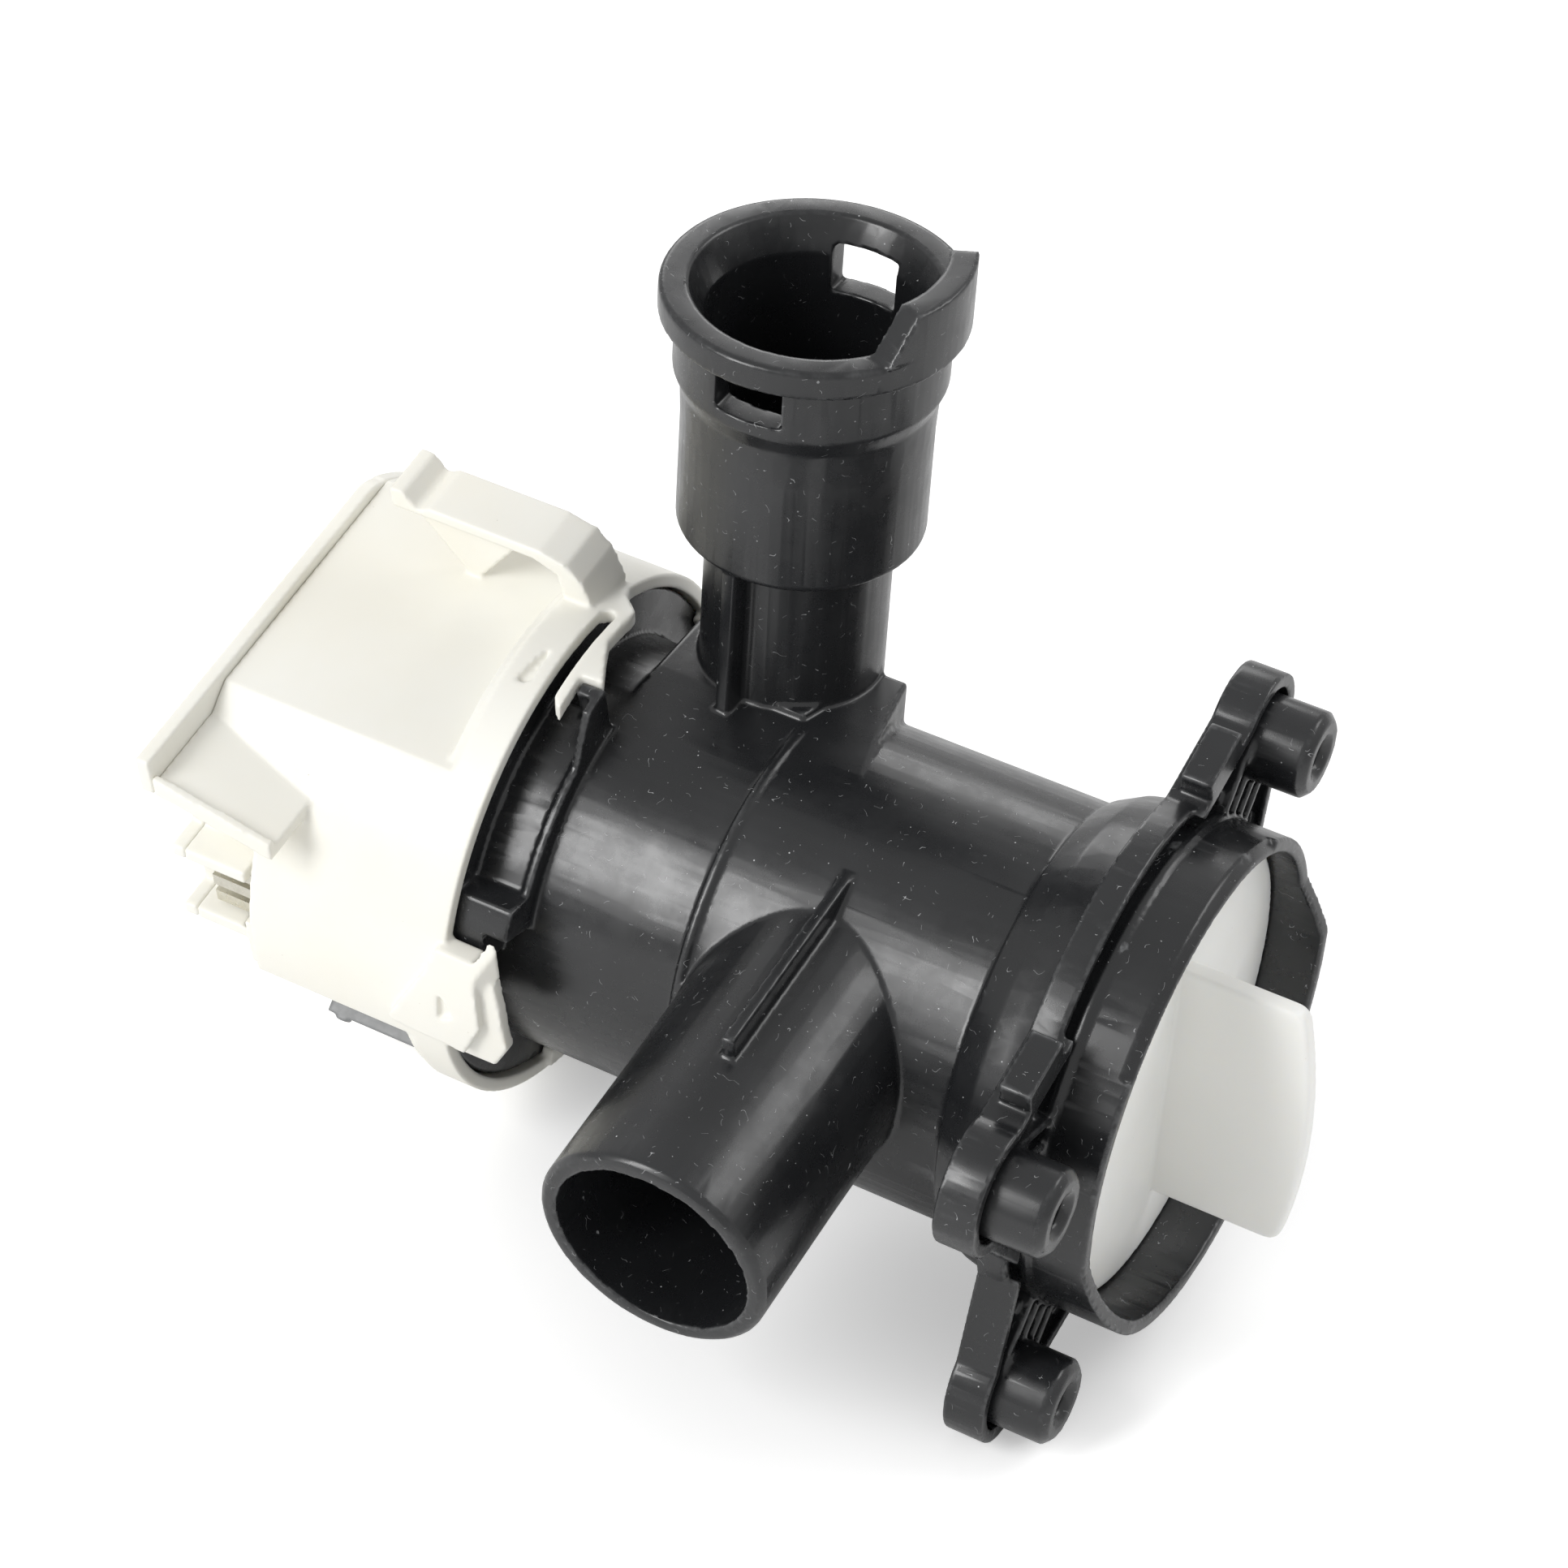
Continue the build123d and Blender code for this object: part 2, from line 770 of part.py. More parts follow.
def outlet_block():
    """Flat-topped block that carries the volute's outlet over to the neck."""
    right = outlet_block_right_x
    outline = Polygon(
        (step_x, -outlet_block_front_y),
        (right, -outlet_block_front_y),
        (right - outlet_block_slant, outlet_block_corner_y),
        (right - 2 * outlet_block_slant, outlet_block_corner_y),
        (step_x, volute_r),
        align=None,
    )
    over_chamber = extrude(outline, outlet_block_top_z, dir=(0, 0, 1))
    section = Polygon(
        (0, 0),
        (volute_r, 0),
        (volute_r, outlet_block_top_z),
        (outlet_foot_y, outlet_block_top_z),
        polar(volute_r, outlet_tangent_deg),
        align=None,
    )
    foot = Polygon(
        (socket_x, outlet_foot_y),
        (step_x, outlet_foot_y),
        (right - 2 * outlet_block_slant, outlet_block_corner_y),
        (socket_x, outlet_block_corner_y),
        align=None,
    )
    foot = extrude(foot, outlet_block_top_z + outlet_foot_t, dir=(0, 0, 1))
    return over_chamber + prism_x(section, outlet_block_left_x, step_x) + foot


def outlet_passage():
    """Way from the volute room up to the neck, kept behind the partition."""
    bore = Pos(socket_x, socket_y, 0) * Cylinder(
        neck_bore_r, outlet_block_top_z + overrun, align=(Align.CENTER, Align.CENTER, Align.MIN)
    )
    behind = block(
        outlet_block_left_x, step_x - partition_t, 0, volute_r, 0, outlet_block_top_z + overrun
    )
    return bore & behind


def branch_frame():
    """Frame of the branch: its local +X runs out of the mouth, from the plane through the axis."""
    return Pos(branch_x, 0, branch_rise) * Rot(0, 0, -90) * Rot(0, branch_tilt, 0)


def branch_length():
    """Distance from the plane through the pump axis to the branch's mouth."""
    return -branch_mouth_y / cos(radians(branch_tilt))


def branch_outside():
    """Branch tube, straight at its mouth and with a little draft behind, and a fin along its top."""
    length = branch_length()
    points = [
        (0, 0),
        (0, branch_root_r),
        (length - branch_rib_from, branch_r),
        (length - branch_edge, branch_r),
        (length, branch_r - branch_edge),
        (length, 0),
    ]
    fin_end = length - branch_rib_from
    fin_top = branch_root_r + branch_rib_h
    fin = block(fin_end - branch_rib_l, fin_end, -branch_rib_t / 2, branch_rib_t / 2, 0, fin_top)
    return branch_frame() * (turned(points) + fin)


def branch_inside():
    """Bore of the branch, from inside the chamber out through the mouth."""
    return branch_frame() * tube_x(0, branch_length() + overrun, branch_bore_r)


def bayonet(turn_deg):
    """One bayonet run on the volute: land and rib between a ramped head and an end block."""
    root_r = volute_bore_r + seat_gap
    back_x = rear_flange_x + overrun
    run = sector_x(back_x, land_front_x, root_r, land_r, head_from, block_from)
    run += sector_x(land_front_x, rib_front_x, root_r, land_r + rib_h, head_from, block_to)
    run += sector_x(head_back_x, rib_front_x, root_r, head_r, head_from, head_bar_to)
    run += sector_x(land_front_x, rib_front_x, root_r, head_r, head_bar_to, head_to)
    ramp = Polygon(
        polar(root_r, head_to),
        polar(head_r, head_to),
        polar(land_r + rib_h, ramp_to),
        polar(root_r, ramp_to),
        align=None,
    )
    run += prism_x(ramp, land_front_x, rib_front_x)
    face = Polygon(
        polar(root_r, block_foot_from),
        polar(land_r, block_foot_from),
        polar(block_r, block_from),
        polar(root_r, block_from),
        align=None,
    )
    run += prism_x(face, back_x, rib_front_x)
    run += sector_x(back_x, rib_front_x, root_r, block_r, block_from, block_to)
    run += sector_x(back_x, block_tail_x, root_r, block_r, block_to, block_tail_to)
    return Rot(turn_deg, 0, 0) * run


def pump_housing():
    """Moulded housing: chamber, volute, socket, branch, collar, flange and bosses in one piece."""
    body = chamber_outside() + outlet_block() + socket_outside() + neck_rib() + rim_tab()
    body += branch_outside()
    for i in range(bayonet_count):
        body += bayonet(i * 360 / bayonet_count)
    for angle in boss_angles:
        body += ear(angle)
        body += boss(angle)
    body += ear_pad(boss_angles[0], 1)
    body += ear_pad(boss_angles[1], -1)
    body -= chamber_inside() + socket_inside() + socket_windows() + outlet_passage() + branch_inside()
    body -= collar_trim()
    for angle in boss_angles:
        body -= boss_hole(angle)
    return body


def filter_cap():
    """Screw-in cap: disc, seal shoulder, skirt and bowed handle blade in one moulding."""
    skirt_in = skirt_r - skirt_wall
    back_x = cap_face_x - cap_t
    body = tube_x(back_x, cap_face_x, cap_r) + tube_x(skirt_back_x, back_x, skirt_r, skirt_in)
    body += tube_x(seal_back_x + seal_w + seat_gap, back_x, cap_shoulder_r, skirt_in)
    root_x = cap_face_x - cap_t / 2
    low = (handle_low_x, handle_low_z)
    high = (handle_high_x, handle_high_z)
    outline = Polyline(low, (root_x, handle_low_z), (root_x, handle_high_z), high)
    outline += ThreePointArc(high, ((handle_low_x + handle_high_x) / 2 + handle_bow, 0), low)
    blade = Plane.XZ.offset(handle_half_t) * make_face(outline)
    grip = extrude(blade, 2 * handle_half_t, dir=(0, 1, 0))
    corners = grip.edges().filter_by(Axis.Y).sort_by(Axis.X)[-2:]
    grip = fillet(corners, handle_corner_r)
    grip = fillet(grip.faces().sort_by(Axis.X)[-1].edges(), handle_edge_r)
    return body + grip


def filter_basket():
    """Cage behind the cap: front ring, bars and a spoked end ring."""
    inner = basket_r - basket_wall
    body = tube_x(basket_bars_x, basket_front_x, basket_r, inner)
    body += tube_x(basket_end_x, basket_end_x + basket_end_t, basket_r, inner)
    body += tube_x(basket_end_x, basket_end_x + basket_end_t, basket_eye_r, basket_eye_r - basket_wall)
    bar = block(basket_end_x, basket_bars_x, inner + seat_gap, basket_r - seat_gap, -bar_w / 2, bar_w / 2)
    spoke = block(
        basket_end_x,
        basket_end_x + basket_end_t,
        basket_eye_r - basket_wall / 2,
        inner + basket_wall / 2,
        -basket_spoke_w / 2,
        basket_spoke_w / 2,
    )
    for i in range(bar_count):
        body += Rot(i * 360 / bar_count, 0, 0) * bar
    for i in range(bar_count // 2):
        body += Rot(i * 720 / bar_count, 0, 0) * spoke
    return body


def filter_seal():
    """Rubber ring between the cap's shoulder and the chamber."""
    return tube_x(seal_back_x, seal_back_x + seal_w, seal_r, skirt_r + seat_gap)


def impeller():
    """Wheel with leaning blades on a disc, hub and nose, with a blind bore for the shaft."""
    disc_front_x = impeller_back_x + impeller_disc_t
    hub_front_x = impeller_front_x - nose_l
    body = tube_x(impeller_back_x, disc_front_x, impeller_r)
    points = [
        (washer_front_x + seat_gap, 0),
        (washer_front_x + seat_gap, washer_r),
        (impeller_back_x, impeller_hub_r),
        (hub_front_x, impeller_hub_r),
        (impeller_front_x, nose_r),
        (impeller_front_x, 0),
    ]
    body += turned(points)
    rim = [
        (impeller_back_x, 0),
        (impeller_back_x, impeller_r - blade_inset),
        (disc_front_x, impeller_r - blade_inset),
        (hub_front_x - blade_inset, blade_front_r),
        (hub_front_x - blade_inset, 0),
    ]
    reach = 2 * impeller_r
    blade = block(disc_front_x - impeller_disc_t / 2, hub_front_x, 0, reach, -blade_t / 2, blade_t / 2)
    blade = Pos(0, impeller_hub_r / 2, 0) * Rot(blade_lean, 0, 0) * blade
    blade = blade & turned(rim)
    for i in range(blade_count):
        body += Rot(i * 360 / blade_count, 0, 0) * blade
    return body - tube_x(impeller_back_x - reach, shaft_front_x + seat_gap, shaft_r + seat_gap)


def rotor_shaft():
    """Steel shaft with chamfered ends."""
    points = [
        (shaft_back_x, 0),
        (shaft_back_x, shaft_r - shaft_edge),
        (shaft_back_x + shaft_edge, shaft_r),
        (shaft_front_x - shaft_edge, shaft_r),
        (shaft_front_x, shaft_r - shaft_edge),
        (shaft_front_x, 0),
    ]
    return turned(points)


def rotor_sleeve():
    """Plastic carrier between the shaft and the magnet."""
    return tube_x(sleeve_back_x, sleeve_front_x, sleeve_r, shaft_r + seat_gap)


def rotor_magnet():
    """Ring magnet of the wet rotor."""
    return tube_x(magnet_back_x, magnet_front_x, magnet_r, sleeve_r + seat_gap)


def thrust_washer():
    """Washer between the impeller's hub and the front bush."""
    return tube_x(washer_front_x - washer_t, washer_front_x, washer_r, shaft_r + seat_gap)


def front_bearing():
    """Front bush of the rotor."""
    return tube_x(front_bearing_x - bearing_length, front_bearing_x, bearing_r, shaft_r + bearing_gap)


def rear_bearing():
    """Rear bush of the rotor, in the seat at the closed end of the can."""
    back_x = can_end_x + can_end_t + seat_gap
    return tube_x(back_x, back_x + bearing_length_rear, bearing_r, shaft_r + bearing_gap)


def bearing_holder():
    """Holder of the front bush that closes the mouth of the can."""
    outer = can_r - can_wall - seat_gap
    return tube_x(holder_x - holder_t, holder_x, outer, bearing_r + seat_gap)


def pump_cover():
    """Wall between volute and motor: plug with a ring groove, flange and closed rotor can."""
    flange_front = rear_flange_x - seat_gap
    flange_back = ring_back_x + seat_gap
    can_bore_r = can_r - can_wall
    body = tube_x(flange_back, flange_front, cover_flange_r, cover_plug_r - cover_plug_wall)
    body += tube_x(flange_back, cover_plug_x, cover_plug_r, cover_plug_r - cover_plug_wall)
    body += tube_x(cover_plug_x - cover_t, cover_plug_x, cover_plug_r, can_bore_r)
    body += tube_x(can_end_x, cover_plug_x, can_r, can_bore_r)
    body += tube_x(can_end_x, can_end_x + can_end_t, can_r)
    seat_end_x = can_end_x + can_end_t + bearing_seat_l
    seat_in = bearing_r + seat_gap
    body += tube_x(can_end_x, seat_end_x, seat_in + bearing_seat_wall, seat_in)
    groove_r = cover_plug_r + body_gap - o_ring_t - 2 * seat_gap
    groove_back_x = o_ring_x - o_ring_t - 2 * seat_gap
    return body - tube_x(groove_back_x, o_ring_x, cover_plug_r + overrun, groove_r)


def cover_seal():
    """O-ring round the pump cover's plug."""
    middle_r = volute_bore_r - seat_gap - o_ring_t / 2
    section = Pos(o_ring_x - seat_gap - o_ring_t / 2, middle_r) * Circle(o_ring_t / 2)
    return revolve(section, Axis.X)


def drum_outline(inset):
    """Outline of the motor drum with its two flats, drawn in by inset."""
    round_outline = Circle(drum_r - inset) & nearer_than(90, flat_top_z - inset)
    return round_outline & nearer_than(low_flat_angle, low_flat_r - inset)


def box_outline(inset):
    """Outline of the box behind the drum, drawn in by inset."""
    outline = drum_outline(inset) & nearer_than(-90, -box_low_z - inset)
    return outline & nearer_than(180, -box_side_y - inset)


def strap():
    """Raised strap on the drum with an upturned end, arching down to the locking ring."""
    top = strap_top_z
    low = top - strap_t
    drop = top - strap_foot_z
    points = [
        (strap_back_x, low),
        (strap_back_x, top + strap_lip_h),
        (strap_back_x + strap_t, top + strap_lip_h),
        (strap_back_x + 2 * strap_t, top - strap_t / 2),
        (strap_back_x + 3 * strap_t, top),
        (strap_bend_x, top),
        (strap_bend_x + arch_share(0.5), top - drop * 0.12),
        (strap_bend_x + arch_share(0.8), top - drop * 0.42),
        (strap_foot_x, top - drop),
        (strap_foot_x, drum_r - drum_wall - strap_y),
        (ring_back_x, drum_r - drum_wall - strap_y),
        (ring_back_x, low - drop * 0.72),
        (strap_bend_x + arch_share(0.3), low - drop * 0.15),
        (strap_bend_x - strap_t / 2, low),
    ]
    band = prism_y(points, strap_y, strap_y + strap_w)
    gusset = [
        (strap_back_x + strap_t / 2, low + strap_t / 2),
        (gusset_foot_x, flat_top_z - drum_wall / 2),
        (gusset_end_x, low + strap_t / 2),
    ]
    return band + prism_y(gusset, gusset_y, gusset_y + gusset_t)


def wing():
    """Sloped plate beside the drum that covers the connector, with a rim on its outer edge."""
    back_x = box_back_x
    points = [
        (back_x, wing_back_z),
        (wing_front_x, wing_front_z),
        (wing_front_x, wing_front_z - wing_t),
        (back_x, wing_back_z - wing_t),
    ]
    rim = [
        (back_x, wing_back_z + wing_rim_h),
        (wing_front_x, wing_front_z + wing_rim_h),
        (wing_front_x, wing_front_z - wing_t),
        (back_x, wing_back_z - wing_t),
    ]
    inside = prism_x(drum_outline(drum_wall / 2), back_x - overrun, wing_front_x + overrun)
    plate = prism_y(points, wing_y, -wing_root_share * drum_r) - inside
    return plate + prism_y(rim, wing_y, wing_y + wing_rim_t)


def connector_shroud():
    """Shelf and tray above and below the connector mouth, and the pocketed lug under it."""
    inner_y = box_side_y + drum_wall / 2
    body = block(box_back_x, shelf_front_x, shelf_y, inner_y, shelf_top_z - shelf_t, shelf_top_z)
    body += block(box_back_x, tray_front_x, shelf_y, inner_y, tray_top_z - shelf_t, tray_top_z)
    lug = block(lug_back_x, lug_front_x, lug_y, inner_y, lug_low_z, lug_high_z)
    pocket = prism_x(
        Polygon(
            (lug_y + lug_wall, lug_low_z + 2 * lug_wall),
            (lug_y + lug_wall, lug_high_z - lug_wall),
            (box_side_y - lug_wall, lug_high_z - lug_wall),
            align=None,
        ),
        lug_back_x - overrun,
        (lug_back_x + lug_front_x) / 2,
    )
    return body + lug - pocket


def snap_finger():
    """Springy finger beside a slot in the locking ring, with a hook that rests on the bayonet head."""
    return wrapped(finger_shares, finger_turns, drum_r - finger_t, drum_r - plate_step)


def grip_bracket():
    """Thumb grip on the locking ring with a shallow recess, a prong and a toe."""
    inner_r = ring_bore_r + plate_step
    body = wrapped(grip_shares, grip_turns, inner_r, grip_r)
    body -= wrapped(recess_shares, recess_turns, grip_r - recess_t, grip_r + overrun)
    middle = (max(prong_turns) + min(prong_turns)) / 2
    corners = ring_corners(prong_shares, prong_turns, middle, grip_r)
    face = Rot(middle, 0, 0) * (Plane.XZ.offset(-grip_r) * Polygon(*corners, align=None))
    prong = extrude(face, prong_depth, dir=(0, 0, -1))
    return body + prong + wrapped(toe_shares, toe_turns, inner_r, drum_r - plate_step)


def stator_rib(angle_deg):
    """Rib from the drum's wall in to the stator ring."""
    middle_r = drum_r - stator_ring_t
    length = 2 * (middle_r - stator_r - seat_gap)
    rib = Rot(0, 0, angle_deg) * Pos(middle_r, 0) * Rectangle(length, stator_rib_t)
    return prism_x(rib & drum_outline(drum_wall / 2), stator_back_x, stator_front_x)


def lock_lug(angle_deg):
    """Lug inside the locking ring that holds on the housing's rear flange."""
    back_x = ring_front_x - lock_lug_behind
    root_r = ring_bore_r + ring_wall / 2
    lug = sector_x(back_x, back_x + lock_lug_w, lock_lug_r, root_r, angle_deg, angle_deg + lock_lug_deg)
    return Rot(-motor_tilt, 0, 0) * lug


def motor_cover():
    """Moulded drum with its rear box, locking ring, strap, connector shroud and stator ribs."""
    body = strap() + tube_x(ring_back_x, ring_front_x, drum_r)
    body += tube_x(ring_back_x - wall_back_t, ring_back_x, wall_edge_r)
    body += prism_x(box_outline(0), box_back_x, drum_back_x)
    body += prism_x(drum_outline(0), drum_back_x, ring_back_x)
    body += wing()
    body += connector_shroud()
    floor_x = drum_back_x + drum_floor_t
    wall_x = ring_back_x - wall_back_t
    body -= prism_x(drum_outline(drum_wall), floor_x, wall_x)
    body -= prism_x(box_outline(drum_wall), box_back_x - overrun, floor_x)
    body -= prism_x(drum_outline(drum_wall) & Circle(wall_hole_r), wall_x, ring_back_x)
    body -= tube_x(ring_back_x, ring_front_x + overrun, ring_bore_r)
    body += snap_finger() + grip_bracket()
    body -= wrapped(ring_recess_shares, ring_recess_turns, drum_r - ring_recess_t, drum_r + overrun)
    for angle in lock_lug_angles:
        body += lock_lug(angle)
    for angle in stator_rib_angles:
        body += stator_rib(angle)
    body -= Rot(low_flat_angle, 0, 0) * block(
        drum_back_x - overrun,
        slide_back_x + slide_l + body_gap,
        low_flat_r - slide_seat,
        low_flat_r + overrun,
        slide_from - body_gap,
        slide_from + slide_w + body_gap,
    )
    for i in range(terminal_count):
        body -= terminal(i, seat_gap)
    return Rot(motor_tilt, 0, 0) * body


def rear_cover():
    """Plate that closes the box behind the drum, with the ends of wing, shelf and tray, and posts."""
    plate = box_outline(0)
    top = flat_top_z + rear_lip
    corner = Pos(rear_corner_y - rear_corner_r, top - rear_corner_r) * Circle(rear_corner_r)
    upper = Polygon(
        (wing_y, top),
        (rear_corner_y - rear_corner_r, top),
        (rear_corner_y - rear_corner_r, wing_back_z),
        (rear_corner_y, wing_back_z - rear_corner_r),
        (box_side_y, wing_back_z - wing_t),
        (wing_y, wing_back_z - wing_t),
        align=None,
    )
    plate = plate + upper + corner
    inner_y = box_side_y + overrun
    for z in (shelf_top_z, tray_top_z):
        low_z = z - shelf_t
        plate += Polygon((shelf_y, low_z), (inner_y, low_z), (inner_y, z), (shelf_y, z), align=None)
    body = prism_x(plate, box_back_x - rear_t, box_back_x)
    for y, z in board_corners():
        body += Pos(0, y, z) * tube_x(box_back_x, board_x - seat_gap, post_r)
    return Rot(motor_tilt, 0, 0) * body


def board_corners():
    """Centres of the four board posts."""
    half_y = board_w / 2 - board_edge
    half_z = board_h / 2 - board_edge
    return [(board_y + i * half_y, board_z + j * half_z) for i in (-1, 1) for j in (-1, 1)]


def lock_slide():
    """Slide that blocks the locking ring, higher along its near side, with a small toe at its back."""
    x_low = slide_back_x
    x_high = slide_back_x + slide_l
    far = slide_from + slide_w
    foot = low_flat_r - slide_seat + body_gap
    points = [(foot, slide_from), (slide_r, slide_from), (slide_r - slide_far_drop, far), (foot, far)]
    body = prism_x(Polygon(*points, align=None), x_low, x_high)
    toe_x = x_low + slide_toe_from
    toe_top = slide_r + slide_toe_h
    toe_far = slide_from + slide_toe_w
    toe = block(toe_x, toe_x + slide_toe_l, slide_r - slide_seat, toe_top, slide_from, toe_far)
    return Rot(motor_tilt + low_flat_angle, 0, 0) * (body + toe)


def tooth_place(index):
    """Turn of one stator tooth about the pump axis."""
    return Rot(motor_tilt + tooth_turn + index * 360 / tooth_count, 0, 0)


def stator_core():
    """Laminated ring with wound teeth and pole shoes round the rotor can."""
    body = tube_x(stator_back_x, stator_front_x, stator_r, stator_r - stator_ring_t)
    tooth = block(
        stator_back_x,
        stator_front_x,
        shoe_r + shoe_t / 2,
        stator_r - stator_ring_t / 2,
        -tooth_w / 2,
        tooth_w / 2,
    )
    shoe = sector_x(stator_back_x, stator_front_x, shoe_r, shoe_r + shoe_t, -shoe_deg / 2, shoe_deg / 2)
    for i in range(tooth_count):
        body += tooth_place(i) * (tooth + shoe)
    return body


def coil_box(r_low, r_high, grow):
    """Box round one tooth that lies at +Y, grown on all four sides."""
    return block(
        stator_back_x - grow, stator_front_x + grow, r_low, r_high, -tooth_w / 2 - grow, tooth_w / 2 + grow
    )


def coil_span():
    """Radii between which a coil former sits on its tooth."""
    return shoe_r + shoe_t + seat_gap, coil_out_r


def bobbins():
    """Four coil formers with end flanges."""
    low, high = coil_span()
    wall = seat_gap + bobbin_wall
    one = coil_box(low, high, wall)
    one += coil_box(low, low + bobbin_flange_t, wall + bobbin_flange_h)
    one += coil_box(high - bobbin_flange_t, high, wall + bobbin_flange_h)
    one -= coil_box(0, stator_r, seat_gap)
    return Compound([tooth_place(i) * one for i in range(tooth_count)])


def windings():
    """Four coils of copper wire."""
    low, high = coil_span()
    low += bobbin_flange_t + seat_gap
    high -= bobbin_flange_t + seat_gap
    wall = seat_gap + bobbin_wall + seat_gap
    one = coil_box(low, high, wall + winding_t)
    one -= coil_box(0, stator_r, wall)
    return Compound([tooth_place(i) * one for i in range(tooth_count)])


def circuit_board():
    """Drive board across the box behind the drum."""
    board = prism_x(Pos(board_y, board_z) * Rectangle(board_w, board_h), board_x, board_x + board_t)
    for i in range(terminal_count):
        board -= terminal(i, seat_gap)
    return Rot(motor_tilt, 0, 0) * board


def board_place(across_share, up_share):
    """Place on the board, as shares of its width and height from its middle."""
    y = board_y + across_share * board_w
    z = board_z + up_share * board_h
    return Rot(motor_tilt, 0, 0) * Pos(0, y, z)


def capacitors():
    """Round capacitors on the board."""
    back_x = board_x + board_t + seat_gap
    can = tube_x(back_x, back_x + capacitor_l, capacitor_r)
    return Compound([board_place(*shares) * can for shares in capacitor_shares])


def board_chips():
    """Flat chips on the board."""
    back_x = board_x + board_t + seat_gap
    chip = block(back_x, back_x + chip_t, -chip_w / 2, chip_w / 2, -chip_w / 2, chip_w / 2)
    return Compound([board_place(*shares) * chip for shares in chip_shares])


def terminal(index, grow):
    """One flat pin: out of the connector mouth, round inside the drum and back to the board."""
    z_low = terminal_z - terminal_w / 2 + index * terminal_pitch - grow
    z_high = z_low + terminal_w + 2 * grow
    half = terminal_t / 2 + grow
    bend_x = terminal_bend_x + grow
    near_y = terminal_y - half
    far_y = terminal_inner_y + half
    pin = block(terminal_back_x, bend_x, near_y, terminal_y + half, z_low, z_high)
    pin += block(bend_x - terminal_t - 2 * grow, bend_x, near_y, far_y, z_low, z_high)
    return pin + block(board_x - terminal_t, bend_x, terminal_inner_y - half, far_y, z_low, z_high)


def connector_terminals():
    """Flat pins of the connector."""
    pins = [Rot(motor_tilt, 0, 0) * terminal(i, 0) for i in range(terminal_count)]
    return Compound(pins)


def write(name, solid):
    """Write one sub-part under its node name."""
    solid.label = name
    export_step(solid, os.path.join("parts", name + ".step"))


os.makedirs("parts", exist_ok=True)
write("pump_housing", pump_housing())
write("filter_cap", filter_cap())
write("filter_basket", filter_basket())
write("filter_seal", filter_seal())
write("impeller", impeller())
write("rotor_shaft", rotor_shaft())
write("rotor_sleeve", rotor_sleeve())
write("rotor_magnet", rotor_magnet())
write("thrust_washer", thrust_washer())
write("front_bearing", front_bearing())
write("rear_bearing", rear_bearing())
write("bearing_holder", bearing_holder())
write("pump_cover", pump_cover())
write("cover_seal", cover_seal())
write("motor_cover", motor_cover())
write("rear_cover", rear_cover())
write("lock_slide", lock_slide())
write("stator_core", stator_core())
write("bobbins", bobbins())
write("windings", windings())
write("circuit_board", circuit_board())
write("capacitors", capacitors())
write("board_chips", board_chips())
write("connector_terminals", connector_terminals())
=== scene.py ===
import json
from math import cos, radians, sin

import bpy
from mathutils import Matrix, Vector

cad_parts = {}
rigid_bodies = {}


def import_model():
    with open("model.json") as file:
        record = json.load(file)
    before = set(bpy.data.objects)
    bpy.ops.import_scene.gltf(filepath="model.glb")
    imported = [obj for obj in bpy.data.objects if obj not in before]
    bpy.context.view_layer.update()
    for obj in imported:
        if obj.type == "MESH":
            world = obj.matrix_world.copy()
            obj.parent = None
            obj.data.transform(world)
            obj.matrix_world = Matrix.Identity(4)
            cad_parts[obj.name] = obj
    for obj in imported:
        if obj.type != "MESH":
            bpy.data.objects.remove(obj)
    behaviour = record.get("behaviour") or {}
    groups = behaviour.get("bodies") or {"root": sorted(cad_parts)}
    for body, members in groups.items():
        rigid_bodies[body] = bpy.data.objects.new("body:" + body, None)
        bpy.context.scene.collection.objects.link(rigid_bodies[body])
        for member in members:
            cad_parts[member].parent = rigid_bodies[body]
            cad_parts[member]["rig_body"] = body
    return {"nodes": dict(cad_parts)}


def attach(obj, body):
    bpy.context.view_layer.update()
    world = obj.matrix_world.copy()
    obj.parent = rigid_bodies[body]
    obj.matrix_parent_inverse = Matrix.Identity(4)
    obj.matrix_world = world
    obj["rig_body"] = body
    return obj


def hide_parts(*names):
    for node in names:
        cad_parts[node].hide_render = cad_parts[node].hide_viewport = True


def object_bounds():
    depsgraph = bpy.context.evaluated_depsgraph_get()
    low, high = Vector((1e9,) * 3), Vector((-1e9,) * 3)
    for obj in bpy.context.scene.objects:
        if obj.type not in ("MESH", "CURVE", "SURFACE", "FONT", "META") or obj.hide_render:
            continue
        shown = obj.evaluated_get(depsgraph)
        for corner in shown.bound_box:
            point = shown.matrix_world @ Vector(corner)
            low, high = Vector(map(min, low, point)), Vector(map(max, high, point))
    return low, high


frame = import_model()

bl_info = {
    "name": "Washer drain pump",
    "version": (1, 0, 0),
    "blender": (4, 5, 0),
    "location": "View3D > Sidebar > Drain Pump",
    "description": "Moulded pieces, finishes and studio for a washer drain pump",
    "category": "Object",
}

MM = 0.001
PER_MM = 1.0 / MM
CAD_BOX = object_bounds()


# Node helpers

def add_node(tree, kind, settings=None, values=None, links=None):
    """Add one shader node with its settings, socket values and incoming links."""
    made = tree.nodes.new(kind)
    for name, value in (settings or {}).items():
        setattr(made, name, value)
    for name, value in (values or {}).items():
        made.inputs[name].default_value = value
    for name, socket in (links or {}).items():
        tree.links.new(socket, made.inputs[name])
    return made


